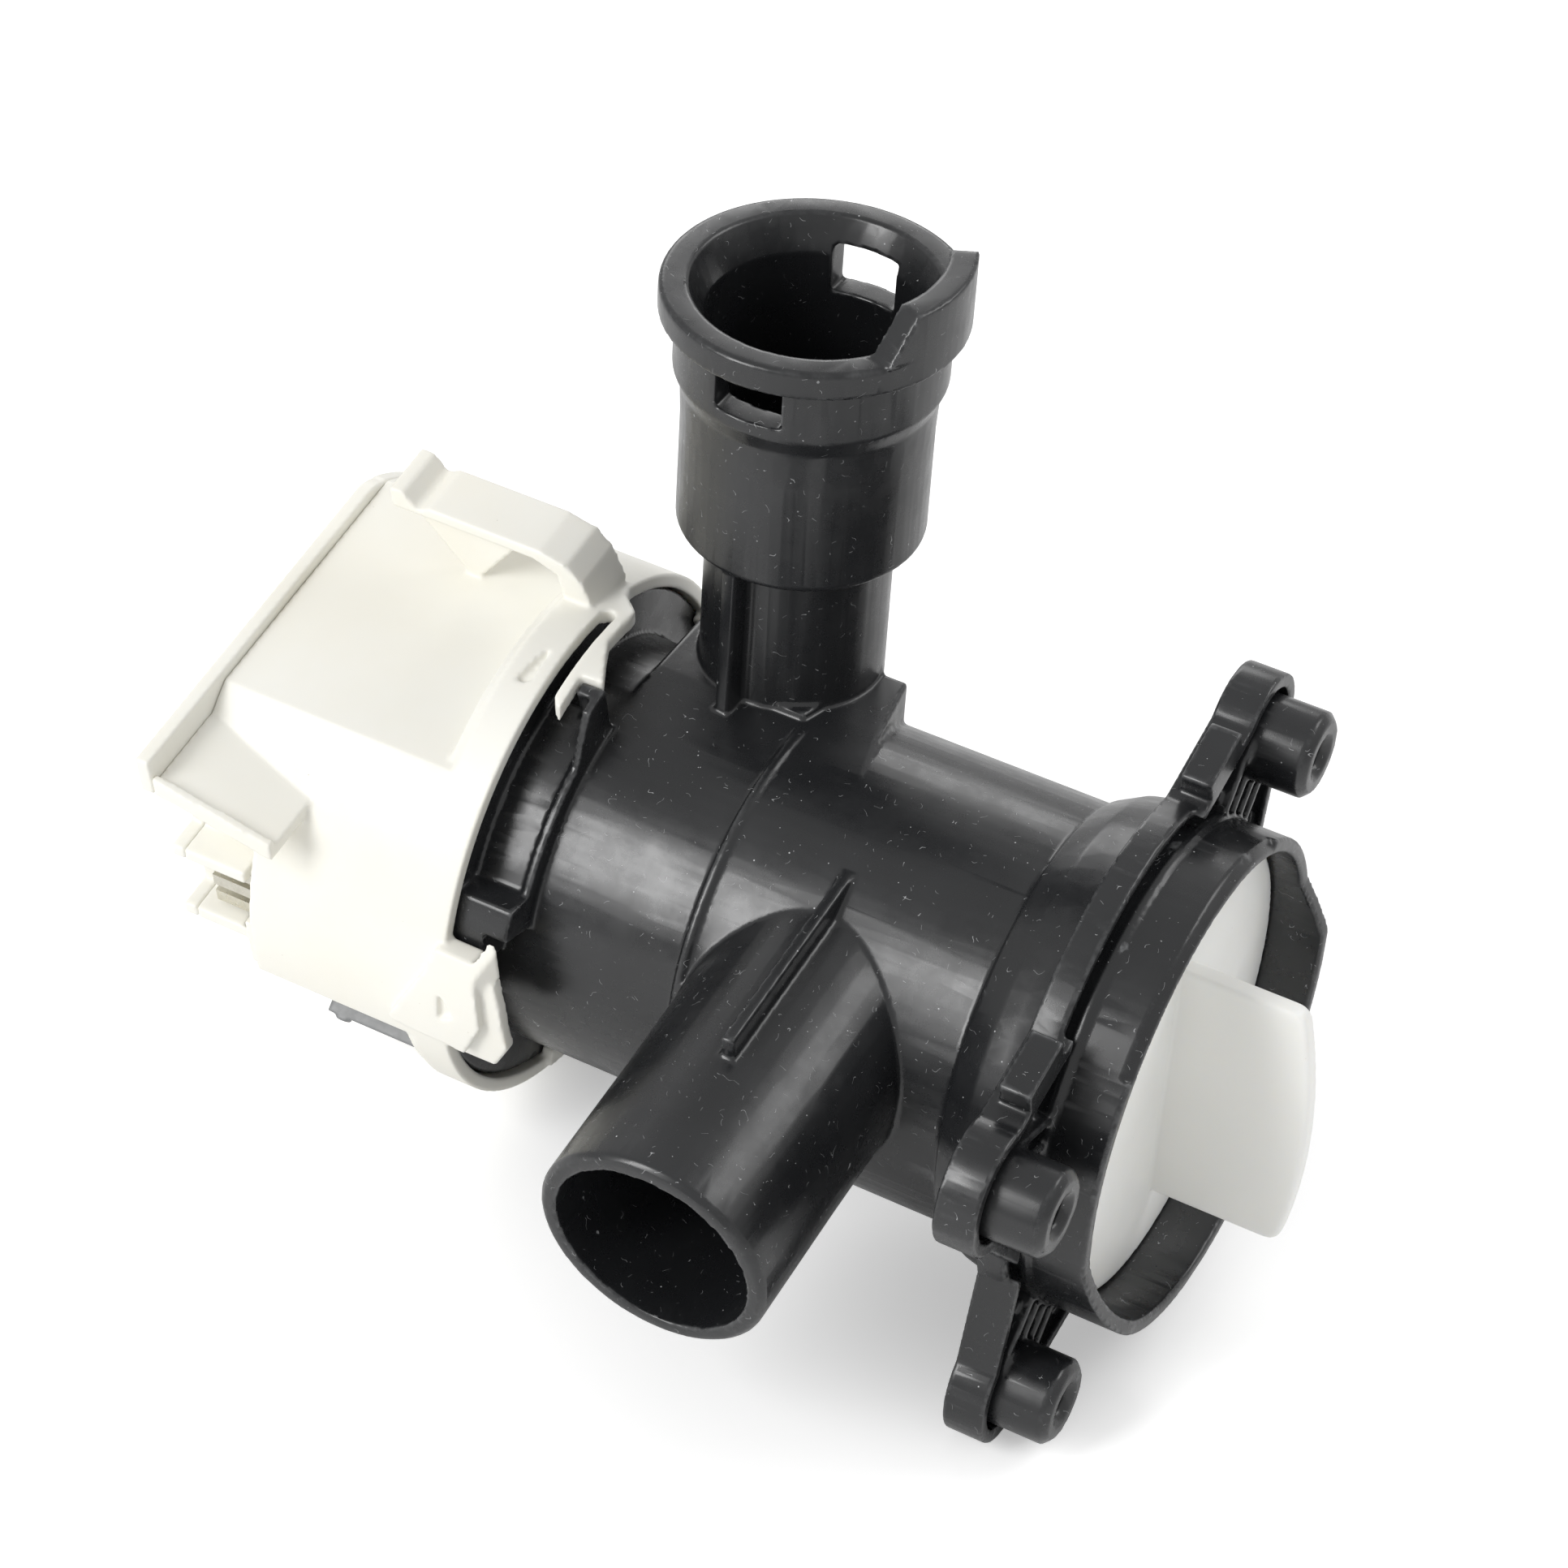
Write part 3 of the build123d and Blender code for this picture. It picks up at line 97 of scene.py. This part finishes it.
def calc(tree, operation, first, second=None, clamp=False):
    """Math node on two sockets or numbers."""
    made = tree.nodes.new("ShaderNodeMath")
    made.operation = operation
    made.use_clamp = clamp
    for index, given in enumerate((first, second)):
        if given is None:
            continue
        if isinstance(given, (int, float)):
            made.inputs[index].default_value = given
        else:
            tree.links.new(given, made.inputs[index])
    return made.outputs[0]


def ramp(tree, value, low, high, to_low=0.0, to_high=1.0):
    """Map a value from one range to another, held at both ends."""
    made = add_node(tree, "ShaderNodeMapRange", {"clamp": True}, {
        "From Min": low, "From Max": high, "To Min": to_low, "To Max": to_high,
    }, {"Value": value})
    return made.outputs["Result"]


def blend_colour(tree, factor, first, second):
    """Mix two colours, each a socket or a plain colour."""
    made = add_node(tree, "ShaderNodeMix", {"data_type": "RGBA"})
    tree.links.new(factor, made.inputs[0])
    for index, given in ((6, first), (7, second)):
        if isinstance(given, tuple):
            made.inputs[index].default_value = (*given, 1.0)
        else:
            tree.links.new(given, made.inputs[index])
    return made.outputs[2]


def millimetres(tree, stretch=(1.0, 1.0, 1.0)):
    """Object coordinates counted in millimetres."""
    place = tree.nodes.new("ShaderNodeTexCoord")
    scale = tuple(PER_MM * s for s in stretch)
    made = add_node(tree, "ShaderNodeMapping", None, {"Scale": scale}, {"Vector": place.outputs["Object"]})
    return made.outputs[0]


def noise(tree, vector, scale, detail=3.0, rough=0.5, distortion=0.0):
    """Noise texture read in millimetres."""
    return add_node(tree, "ShaderNodeTexNoise", None, {
        "Scale": scale, "Detail": detail, "Roughness": rough, "Distortion": distortion,
    }, {"Vector": vector}).outputs["Fac"]


def specks(tree, vector, spacing, size):
    """Small round specks, one for each cell of the given spacing in millimetres."""
    cells = add_node(tree, "ShaderNodeTexVoronoi", {"feature": "F1"}, {
        "Scale": 1.0 / spacing,
    }, {"Vector": vector})
    core = 0.6
    return ramp(tree, cells.outputs["Distance"], core * size / spacing, size / spacing, 1.0, 0.0)


def hair_marks(tree, vector, scale, width, rarity):
    """Short fine hairs, cut out of the level lines of a noise."""
    level = noise(tree, vector, scale, 1.0)
    line = calc(tree, "ABSOLUTE", calc(tree, "SUBTRACT", level, 0.5))
    thin = ramp(tree, line, width * 0.4, width, 1.0, 0.0)
    pieces = ramp(tree, noise(tree, vector, scale * 2.2, 0.0), rarity, rarity + 0.02)
    return calc(tree, "MULTIPLY", thin, pieces)


def fresh_material(name):
    """New material with only its shader and output."""
    made = bpy.data.materials.new(name)
    made.use_nodes = True
    return made, made.node_tree, made.node_tree.nodes["Principled BSDF"]


# Finishes

def black_polypropylene(look):
    """Satin black moulding with dust, fine hair marks and greyed edges."""
    made, tree, shader = fresh_material("black_polypropylene")
    mm = millimetres(tree)
    cloud = noise(tree, mm, 0.05, 4.0)
    paler = tuple(look.cloud_lift * c for c in look.colour)
    base = blend_colour(tree, ramp(tree, cloud, 0.35, 0.65), tuple(look.colour), paler)
    upward = add_node(tree, "ShaderNodeSeparateXYZ", None, None, {
        "Vector": tree.nodes.new("ShaderNodeNewGeometry").outputs["Normal"],
    }).outputs["Z"]
    settle = ramp(tree, upward, -0.3, 0.8, 0.25, 1.0)
    patches = ramp(tree, noise(tree, mm, 0.12, 3.0), 0.42, 0.62)
    spacing = look.dust_spacing * PER_MM
    size = look.dust_size * PER_MM
    dust = calc(tree, "MULTIPLY", specks(tree, mm, spacing, size), settle)
    dust = calc(tree, "MULTIPLY", dust, patches)
    crumbs = specks(tree, mm, look.crumb_spacing * PER_MM, look.crumb_size * PER_MM)
    crumbs = calc(tree, "MULTIPLY", crumbs, settle)
    dust = calc(tree, "MAXIMUM", dust, crumbs)
    marks = calc(tree, "MULTIPLY", hair_marks(tree, mm, 0.42, 0.0044, 0.675), look.hairs)
    edge = tree.nodes.new("ShaderNodeNewGeometry").outputs["Pointiness"]
    scuffed = ramp(tree, noise(tree, mm, 0.7, 4.0), 0.36, 0.60)
    worn = calc(tree, "MULTIPLY", ramp(tree, edge, 0.52, 0.60), scuffed)
    worn = calc(tree, "MULTIPLY", worn, look.wear)
    base = blend_colour(tree, worn, base, tuple(look.wear_colour))
    light = calc(tree, "MAXIMUM", calc(tree, "MULTIPLY", dust, look.dust_strength), marks)
    base = blend_colour(tree, light, base, tuple(look.dust_colour))
    tree.links.new(base, shader.inputs["Base Color"])
    uneven = noise(tree, mm, 0.22, 5.0, 0.6)
    rough = ramp(tree, uneven, 0.3, 0.7, look.roughness - 0.05, look.roughness + 0.07)
    rough = calc(tree, "ADD", rough, calc(tree, "MULTIPLY", calc(tree, "MAXIMUM", light, worn), 0.25))
    tree.links.new(rough, shader.inputs["Roughness"])
    soft = add_node(tree, "ShaderNodeBump", None, {"Strength": 0.10, "Distance": 0.3 * MM}, {
        "Height": noise(tree, mm, 0.16, 2.0),
    })
    fine = add_node(tree, "ShaderNodeBump", None, {"Strength": 0.10, "Distance": 0.02 * MM}, {
        "Height": noise(tree, mm, 3.2, 3.0), "Normal": soft.outputs["Normal"],
    })
    tree.links.new(fine.outputs["Normal"], shader.inputs["Normal"])
    shader.inputs["Specular IOR Level"].default_value = look.gloss
    return made


def pale_plastic(name, colour, shade, roughness, glow, depth):
    """Pale moulding that lets a little light in, with faint flow clouds and soft skin."""
    made, tree, shader = fresh_material(name)
    mm = millimetres(tree)
    cloud = ramp(tree, noise(tree, mm, 0.045, 4.0), 0.35, 0.7)
    base = blend_colour(tree, cloud, tuple(colour), tuple(shade))
    patches = ramp(tree, noise(tree, mm, 0.2, 2.0), 0.5, 0.6)
    dirt = calc(tree, "MULTIPLY", specks(tree, mm, 3.4, 0.10), patches)
    base = blend_colour(tree, calc(tree, "MULTIPLY", dirt, 0.5), base, (0.32, 0.28, 0.22))
    tree.links.new(base, shader.inputs["Base Color"])
    rough = ramp(tree, noise(tree, mm, 0.3, 4.0), 0.3, 0.7, roughness - 0.05, roughness + 0.06)
    tree.links.new(rough, shader.inputs["Roughness"])
    shader.inputs["Subsurface Weight"].default_value = glow
    shader.inputs["Subsurface Radius"].default_value = (1.0, 0.92, 0.78)
    shader.inputs["Subsurface Scale"].default_value = depth * MM
    wave = add_node(tree, "ShaderNodeBump", None, {"Strength": 0.08, "Distance": 0.25 * MM}, {
        "Height": noise(tree, mm, 0.11, 2.0),
    })
    skin = add_node(tree, "ShaderNodeBump", None, {"Strength": 0.12, "Distance": 0.02 * MM}, {
        "Height": noise(tree, mm, 2.6, 3.0), "Normal": wave.outputs["Normal"],
    })
    tree.links.new(skin.outputs["Normal"], shader.inputs["Normal"])
    return made


def grained(name, colour, other, roughness, metallic=0.0, grain=(1.0, 1.0, 1.0), size=0.8):
    """Plain finish with fine grain: two tones, uneven gloss and a low bump."""
    made, tree, shader = fresh_material(name)
    mm = millimetres(tree, grain)
    mix = ramp(tree, noise(tree, mm, size, 4.0), 0.3, 0.7)
    tree.links.new(blend_colour(tree, mix, colour, other), shader.inputs["Base Color"])
    uneven = noise(tree, mm, 1.7 * size, 3.0)
    rough = ramp(tree, uneven, 0.3, 0.7, roughness - 0.06, roughness + 0.08)
    tree.links.new(rough, shader.inputs["Roughness"])
    shader.inputs["Metallic"].default_value = metallic
    bump = add_node(tree, "ShaderNodeBump", None, {"Strength": 0.2, "Distance": 0.02 * MM}, {
        "Height": noise(tree, mm, 3.0 * size, 3.0),
    })
    tree.links.new(bump.outputs["Normal"], shader.inputs["Normal"])
    return made


def banded(name, colour, gap_colour, pitch, roughness, metallic, along="X"):
    """Finish of stacked sheets or wound wire: fine bands with a shadow between them."""
    made, tree, shader = fresh_material(name)
    mm = millimetres(tree)
    bands = add_node(tree, "ShaderNodeTexWave", {"wave_type": "BANDS", "bands_direction": along}, {
        "Scale": 0.314 / pitch, "Distortion": 0.15, "Detail": 1.0,
    }, {"Vector": mm}).outputs["Fac"]
    tone = blend_colour(tree, ramp(tree, bands, 0.1, 0.5), gap_colour, colour)
    tree.links.new(tone, shader.inputs["Base Color"])
    rough = ramp(tree, noise(tree, mm, 0.9), 0.3, 0.7, roughness - 0.06, roughness + 0.08)
    tree.links.new(rough, shader.inputs["Roughness"])
    shader.inputs["Metallic"].default_value = metallic
    bump = add_node(tree, "ShaderNodeBump", None, {
        "Strength": 0.5, "Distance": 0.3 * pitch * MM,
    }, {"Height": bands})
    tree.links.new(bump.outputs["Normal"], shader.inputs["Normal"])
    return made


# Shape helpers

def only(piece):
    """Make one object the only selected and active one."""
    bpy.ops.object.select_all(action="DESELECT")
    piece.select_set(True)
    bpy.context.view_layer.objects.active = piece


def apply_modifier(piece, kind, **settings):
    """Add one modifier with its settings and apply it."""
    made = piece.modifiers.new(kind.lower(), kind)
    for name, value in settings.items():
        setattr(made, name, value)
    only(piece)
    bpy.ops.object.modifier_apply(modifier=made.name)


def moulded(node, name, shape, material):
    """Copy a CAD node as one moulding with rounded edges, dress it and let it stand for the node."""
    source = frame["nodes"][node]
    piece = bpy.data.objects.new(name, source.data.copy())
    bpy.context.scene.collection.objects.link(piece)
    only(piece)
    bpy.ops.object.mode_set(mode="EDIT")
    bpy.ops.mesh.select_all(action="SELECT")
    bpy.ops.mesh.remove_doubles(threshold=shape.weld)
    bpy.ops.object.mode_set(mode="OBJECT")
    grain = shape.skin_grain * 1.0
    apply_modifier(piece, "REMESH", mode="VOXEL", voxel_size=grain, use_smooth_shade=True)
    apply_modifier(piece, "SMOOTH", factor=0.5, iterations=shape.edge_rounds)
    count = sum(len(face.vertices) - 2 for face in piece.data.polygons)
    if count > shape.most_triangles:
        apply_modifier(piece, "DECIMATE", ratio=shape.most_triangles / count, use_collapse_triangulate=True)
    only(piece)
    bpy.ops.object.shade_smooth()
    dress(piece, material)
    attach(piece, source["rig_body"])
    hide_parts(node)
    return piece


def dress(piece, material):
    """Give a piece one material."""
    piece.data.materials.clear()
    piece.data.materials.append(material)


# Settings

class MouldingSettings(bpy.types.PropertyGroup):
    """Sizes of the rounded skin that every moulding gets."""

    skin_grain: bpy.props.FloatProperty(
        name="Skin grain", description="Size of the grain that the skin is rebuilt from",
        default=0.33 * MM, unit="LENGTH"
    )
    edge_rounds: bpy.props.IntProperty(
        name="Edge rounds", description="How many times the edges are softened", default=2, min=0
    )
    weld: bpy.props.FloatProperty(
        name="Weld", description="Distance within which corners are joined first",
        default=0.001 * MM, unit="LENGTH"
    )
    most_triangles: bpy.props.IntProperty(
        name="Most triangles", description="Upper limit of one moulding's triangles", default=190000, min=1000
    )


class HousingSettings(bpy.types.PropertyGroup):
    """Finish of the black housing."""

    colour: bpy.props.FloatVectorProperty(
        name="Colour", description="Black of the housing", subtype="COLOR",
        default=(0.010, 0.0105, 0.0115), min=0, max=1
    )
    cloud_lift: bpy.props.FloatProperty(
        name="Cloud lift", description="How much paler the clouds in the black are", default=1.45, min=1.0
    )
    roughness: bpy.props.FloatProperty(
        name="Roughness", description="Satin of the skin", default=0.27, min=0.05, max=1.0
    )
    gloss: bpy.props.FloatProperty(
        name="Gloss", description="Strength of the skin's reflection", default=0.65, min=0.0, max=1.0
    )
    dust_spacing: bpy.props.FloatProperty(
        name="Dust spacing", description="Mean distance of dust specks", default=1.15 * MM, unit="LENGTH"
    )
    dust_size: bpy.props.FloatProperty(
        name="Dust size", description="Radius of a dust speck", default=0.073 * MM, unit="LENGTH"
    )
    crumb_spacing: bpy.props.FloatProperty(
        name="Crumb spacing", description="Mean distance of coarser specks", default=2.99 * MM, unit="LENGTH"
    )
    crumb_size: bpy.props.FloatProperty(
        name="Crumb size", description="Radius of a coarser speck", default=0.1241 * MM, unit="LENGTH"
    )
    dust_strength: bpy.props.FloatProperty(
        name="Dust strength", description="How much of the black the specks hide",
        default=0.85, min=0.0, max=1.0
    )
    hairs: bpy.props.FloatProperty(
        name="Hairs", description="How much of the black the fine hairs hide", default=0.50, min=0.0, max=1.0
    )
    dust_colour: bpy.props.FloatVectorProperty(
        name="Dust colour", description="Pale grey of the dust", subtype="COLOR",
        default=(0.62, 0.63, 0.64), min=0, max=1
    )
    wear_colour: bpy.props.FloatVectorProperty(
        name="Wear colour", description="Grey of the worn edges", subtype="COLOR",
        default=(0.24, 0.245, 0.25), min=0, max=1
    )
    wear: bpy.props.FloatProperty(
        name="Wear", description="How far the edges have greyed", default=0.55, min=0.0, max=1.0
    )


class FilterSettings(bpy.types.PropertyGroup):
    """Finish of the white filter."""

    colour: bpy.props.FloatVectorProperty(
        name="Colour", description="White of the filter", subtype="COLOR",
        default=(0.92, 0.92, 0.89), min=0, max=1
    )
    shade: bpy.props.FloatVectorProperty(
        name="Shade", description="White of the filter's flow clouds", subtype="COLOR",
        default=(0.89, 0.89, 0.86), min=0, max=1
    )
    roughness: bpy.props.FloatProperty(
        name="Roughness", description="Satin of the skin", default=0.40, min=0.05, max=1.0
    )


class MotorSettings(bpy.types.PropertyGroup):
    """Finish of the cream motor mouldings and the grey slide."""

    colour: bpy.props.FloatVectorProperty(
        name="Colour", description="Cream of the motor cover", subtype="COLOR",
        default=(0.87, 0.86, 0.80), min=0, max=1
    )
    shade: bpy.props.FloatVectorProperty(
        name="Shade", description="Cream of the cover's flow clouds", subtype="COLOR",
        default=(0.85, 0.83, 0.75), min=0, max=1
    )
    roughness: bpy.props.FloatProperty(
        name="Roughness", description="Satin of the skin", default=0.42, min=0.05, max=1.0
    )
    slide_colour: bpy.props.FloatVectorProperty(
        name="Slide colour", description="Grey of the slide", subtype="COLOR",
        default=(0.23, 0.235, 0.24), min=0, max=1
    )


class StudioSettings(bpy.types.PropertyGroup):
    """Camera, floor and lights."""

    azimuth: bpy.props.FloatProperty(
        name="Azimuth", description="Camera's turn round the pump", default=radians(26.09), subtype="ANGLE"
    )
    elevation: bpy.props.FloatProperty(
        name="Elevation", description="Camera's height above the horizon",
        default=radians(40.51), subtype="ANGLE"
    )
    roll: bpy.props.FloatProperty(
        name="Roll", description="Camera's roll", default=radians(3.90), subtype="ANGLE"
    )
    place: bpy.props.FloatVectorProperty(
        name="Place", description="Camera's place", subtype="TRANSLATION",
        default=(0.12990, -0.38950, 0.39240)
    )
    focal: bpy.props.FloatProperty(
        name="Focal length", description="Lens on a 36 mm sensor", default=102.67
    )
    floor_size: bpy.props.FloatProperty(
        name="Floor size", description="Side of the floor", default=12.0, unit="LENGTH"
    )
    floor_tone: bpy.props.FloatProperty(
        name="Floor tone", description="Brightness of the floor", default=0.93
    )
    floor_glow: bpy.props.FloatProperty(
        name="Floor glow", description="White that the floor shows the camera", default=0.34
    )
    sky: bpy.props.FloatProperty(
        name="Surroundings", description="Light from all round", default=0.61
    )


LIGHTS = (
    # name, azimuth, elevation, distance, width, height, power
    ("softbox_left", -29.0, 32.5, 1.0, 0.30, 0.66, 5.9),
    ("softbox_back", 135.0, 42.0, 1.1, 0.60, 0.45, 2.6),
    ("strip_back", -150.0, 24.0, 1.1, 0.70, 0.30, 2.0),
)


def toward(azimuth, elevation):
    """Direction from the pump to a place round it."""
    return Vector((sin(azimuth) * cos(elevation), -cos(azimuth) * cos(elevation), sin(elevation)))


# Operators

class PUMP_OT_housing(bpy.types.Operator):
    """Mould the black pump housing."""

    bl_idname = "pump.housing"
    bl_label = "Pump housing"

    def execute(self, context):
        look = context.scene.pump_housing
        moulded("pump_housing", "housing_moulding", context.scene.pump_moulding, black_polypropylene(look))
        return {"FINISHED"}


class PUMP_OT_filter(bpy.types.Operator):
    """Mould the white filter cap and dress its basket and seal."""

    bl_idname = "pump.filter"
    bl_label = "Filter"

    def execute(self, context):
        look = context.scene.pump_filter
        white = pale_plastic("white_polypropylene", look.colour, look.shade, look.roughness, 0.35, 2.0)
        moulded("filter_cap", "filter_cap_moulding", context.scene.pump_moulding, white)
        dress(frame["nodes"]["filter_basket"], white)
        rubber = grained("seal_rubber", (0.018, 0.018, 0.019), (0.030, 0.030, 0.031), 0.6)
        for node in ("filter_seal", "cover_seal", "bearing_holder"):
            dress(frame["nodes"][node], rubber)
        return {"FINISHED"}


class PUMP_OT_motor(bpy.types.Operator):
    """Mould the cream motor cover, its rear plate and the grey lock slide."""

    bl_idname = "pump.motor"
    bl_label = "Motor covers"

    def execute(self, context):
        look = context.scene.pump_motor
        shape = context.scene.pump_moulding
        cream = pale_plastic("cream_polyester", look.colour, look.shade, look.roughness, 0.12, 1.0)
        moulded("motor_cover", "motor_moulding", shape, cream)
        moulded("rear_cover", "rear_plate_moulding", shape, cream)
        darker = tuple(0.9 * c for c in look.slide_colour)
        grey = grained("grey_slide_plastic", tuple(look.slide_colour), darker, 0.42)
        moulded("lock_slide", "lock_slide_moulding", shape, grey)
        return {"FINISHED"}


class PUMP_OT_inside(bpy.types.Operator):
    """Dress the pieces inside the pump and the motor."""

    bl_idname = "pump.inside"
    bl_label = "Inner pieces"

    def execute(self, context):
        finishes = {
            "impeller": grained("impeller_plastic", (0.52, 0.53, 0.53), (0.47, 0.48, 0.48), 0.4),
            "rotor_shaft": grained(
                "ground_steel", (0.60, 0.61, 0.63), (0.52, 0.53, 0.55), 0.24, 1.0, (0.1, 1.0, 1.0), 4.0
            ),
            "rotor_sleeve": grained("sleeve_plastic", (0.04, 0.04, 0.045), (0.06, 0.06, 0.065), 0.5),
            "rotor_magnet": grained(
                "sintered_ferrite", (0.030, 0.030, 0.032), (0.055, 0.054, 0.054), 0.55, 0.1
            ),
            "thrust_washer": grained("washer_plastic", (0.70, 0.70, 0.68), (0.64, 0.64, 0.62), 0.35),
            "front_bearing": grained("bush_carbon", (0.02, 0.02, 0.022), (0.035, 0.035, 0.038), 0.4, 0.2),
            "pump_cover": grained("cover_plastic", (0.020, 0.020, 0.022), (0.030, 0.030, 0.032), 0.45),
            "stator_core": banded("stamped_sheets", (0.42, 0.43, 0.45), (0.06, 0.06, 0.06), 0.5, 0.4, 1.0),
            "bobbins": grained("bobbin_plastic", (0.66, 0.63, 0.54), (0.60, 0.57, 0.48), 0.45),
            "windings": banded("enamelled_copper", (0.62, 0.25, 0.09), (0.16, 0.05, 0.02), 0.32, 0.28, 0.9),
            "circuit_board": grained("board_laminate", (0.010, 0.085, 0.035), (0.014, 0.11, 0.045), 0.35),
            "capacitors": grained("can_aluminium", (0.68, 0.69, 0.71), (0.60, 0.61, 0.63), 0.3, 1.0),
            "board_chips": grained("chip_black", (0.012, 0.012, 0.013), (0.02, 0.02, 0.022), 0.5),
            "connector_terminals": grained("tinned_brass", (0.70, 0.68, 0.60), (0.62, 0.60, 0.52), 0.3, 1.0),
        }
        finishes["rear_bearing"] = finishes["front_bearing"]
        for node, material in finishes.items():
            dress(frame["nodes"][node], material)
        return {"FINISHED"}


class PUMP_OT_studio(bpy.types.Operator):
    """Place the floor, the lights, the surroundings and the camera."""

    bl_idname = "pump.studio"
    bl_label = "Studio"

    def execute(self, context):
        look = context.scene.pump_studio
        make_floor(look)
        make_lights()
        make_surroundings(look)
        make_camera(context.scene, look)
        return {"FINISHED"}


def make_floor(look):
    """Pale floor under the pump's lowest point."""
    bpy.ops.object.select_all(action="DESELECT")
    bpy.ops.mesh.primitive_plane_add(size=look.floor_size, location=(0.0, 0.0, CAD_BOX[0].z))
    floor = bpy.context.object
    floor.name = "floor"
    made, tree, shader = fresh_material("pale_floor")
    shader.inputs["Base Color"].default_value = (look.floor_tone, look.floor_tone, look.floor_tone, 1.0)
    shader.inputs["Roughness"].default_value = 0.9
    shader.inputs["Specular IOR Level"].default_value = 0.1
    shader.inputs["Emission Color"].default_value = (1.0, 1.0, 1.0, 1.0)
    seen = tree.nodes.new("ShaderNodeLightPath").outputs["Is Camera Ray"]
    tree.links.new(calc(tree, "MULTIPLY", seen, look.floor_glow), shader.inputs["Emission Strength"])
    dress(floor, made)


def make_lights():
    """Soft boxes round the pump."""
    middle = (CAD_BOX[0] + CAD_BOX[1]) / 2
    for name, azimuth, elevation, distance, width, height, power in LIGHTS:
        lamp = bpy.data.lights.new(name, "AREA")
        lamp.shape = "RECTANGLE"
        lamp.size = width
        lamp.size_y = height
        lamp.energy = power
        way = toward(radians(azimuth), radians(elevation))
        holder = bpy.data.objects.new(name, lamp)
        holder.location = middle + distance * way
        holder.rotation_euler = way.to_track_quat("Z", "Y").to_euler()
        bpy.context.scene.collection.objects.link(holder)


def make_surroundings(look):
    """Even pale surroundings, white where the camera sees them."""
    world = bpy.data.worlds.new("surroundings")
    world.use_nodes = True
    tree = world.node_tree
    plain = tree.nodes["Background"]
    plain.inputs["Color"].default_value = (1.0, 1.0, 1.0, 1.0)
    plain.inputs["Strength"].default_value = look.sky
    white = add_node(tree, "ShaderNodeBackground", None, {"Color": (1.0, 1.0, 1.0, 1.0), "Strength": 1.0})
    seen = tree.nodes.new("ShaderNodeLightPath").outputs["Is Camera Ray"]
    choice = add_node(tree, "ShaderNodeMixShader", None, None, {
        0: seen, 1: plain.outputs[0], 2: white.outputs[0],
    })
    tree.links.new(choice.outputs[0], tree.nodes["World Output"].inputs["Surface"])
    bpy.context.scene.world = world


def make_camera(scene, look):
    """Camera at the photograph's viewing angle."""
    back = toward(look.azimuth, look.elevation)
    level = (-back).cross(Vector((0.0, 0.0, 1.0))).normalized()
    above = level.cross(-back)
    right = cos(look.roll) * level + sin(look.roll) * above
    up = -sin(look.roll) * level + cos(look.roll) * above
    lens = bpy.data.cameras.new("camera")
    lens.sensor_width = 36.0
    lens.lens = look.focal
    lens.clip_start = 0.01
    lens.clip_end = 50.0
    camera = bpy.data.objects.new("camera", lens)
    turn = Matrix((right, up, back)).transposed().to_4x4()
    camera.matrix_world = Matrix.Translation(look.place) @ turn
    scene.collection.objects.link(camera)
    scene.camera = camera
    scene.view_settings.view_transform = "Standard"


class PUMP_PT_panel(bpy.types.Panel):
    """Sidebar list of the pump's steps."""

    bl_idname = "PUMP_PT_panel"
    bl_label = "Drain pump"
    bl_space_type = "VIEW_3D"
    bl_region_type = "UI"
    bl_category = "Drain Pump"

    def draw(self, context):
        for step in STEPS:
            self.layout.operator(step)


STEPS = ("pump.housing", "pump.filter", "pump.motor", "pump.inside", "pump.studio")
GROUPS = {
    "pump_moulding": MouldingSettings,
    "pump_housing": HousingSettings,
    "pump_filter": FilterSettings,
    "pump_motor": MotorSettings,
    "pump_studio": StudioSettings,
}
CLASSES = (PUMP_OT_housing, PUMP_OT_filter, PUMP_OT_motor, PUMP_OT_inside, PUMP_OT_studio, PUMP_PT_panel)


def register():
    """Register the settings, operators and panel."""
    for name, group in GROUPS.items():
        bpy.utils.register_class(group)
        setattr(bpy.types.Scene, name, bpy.props.PointerProperty(type=group))
    for made in CLASSES:
        bpy.utils.register_class(made)


def unregister():
    """Take them away again."""
    for made in reversed(CLASSES):
        bpy.utils.unregister_class(made)
    for name, group in GROUPS.items():
        delattr(bpy.types.Scene, name)
        bpy.utils.unregister_class(group)


def main():
    """Build every piece and the studio."""
    register()
    for step in STEPS:
        family, name = step.split(".")
        getattr(getattr(bpy.ops, family), name)()


if __name__ == "__main__":
    main()
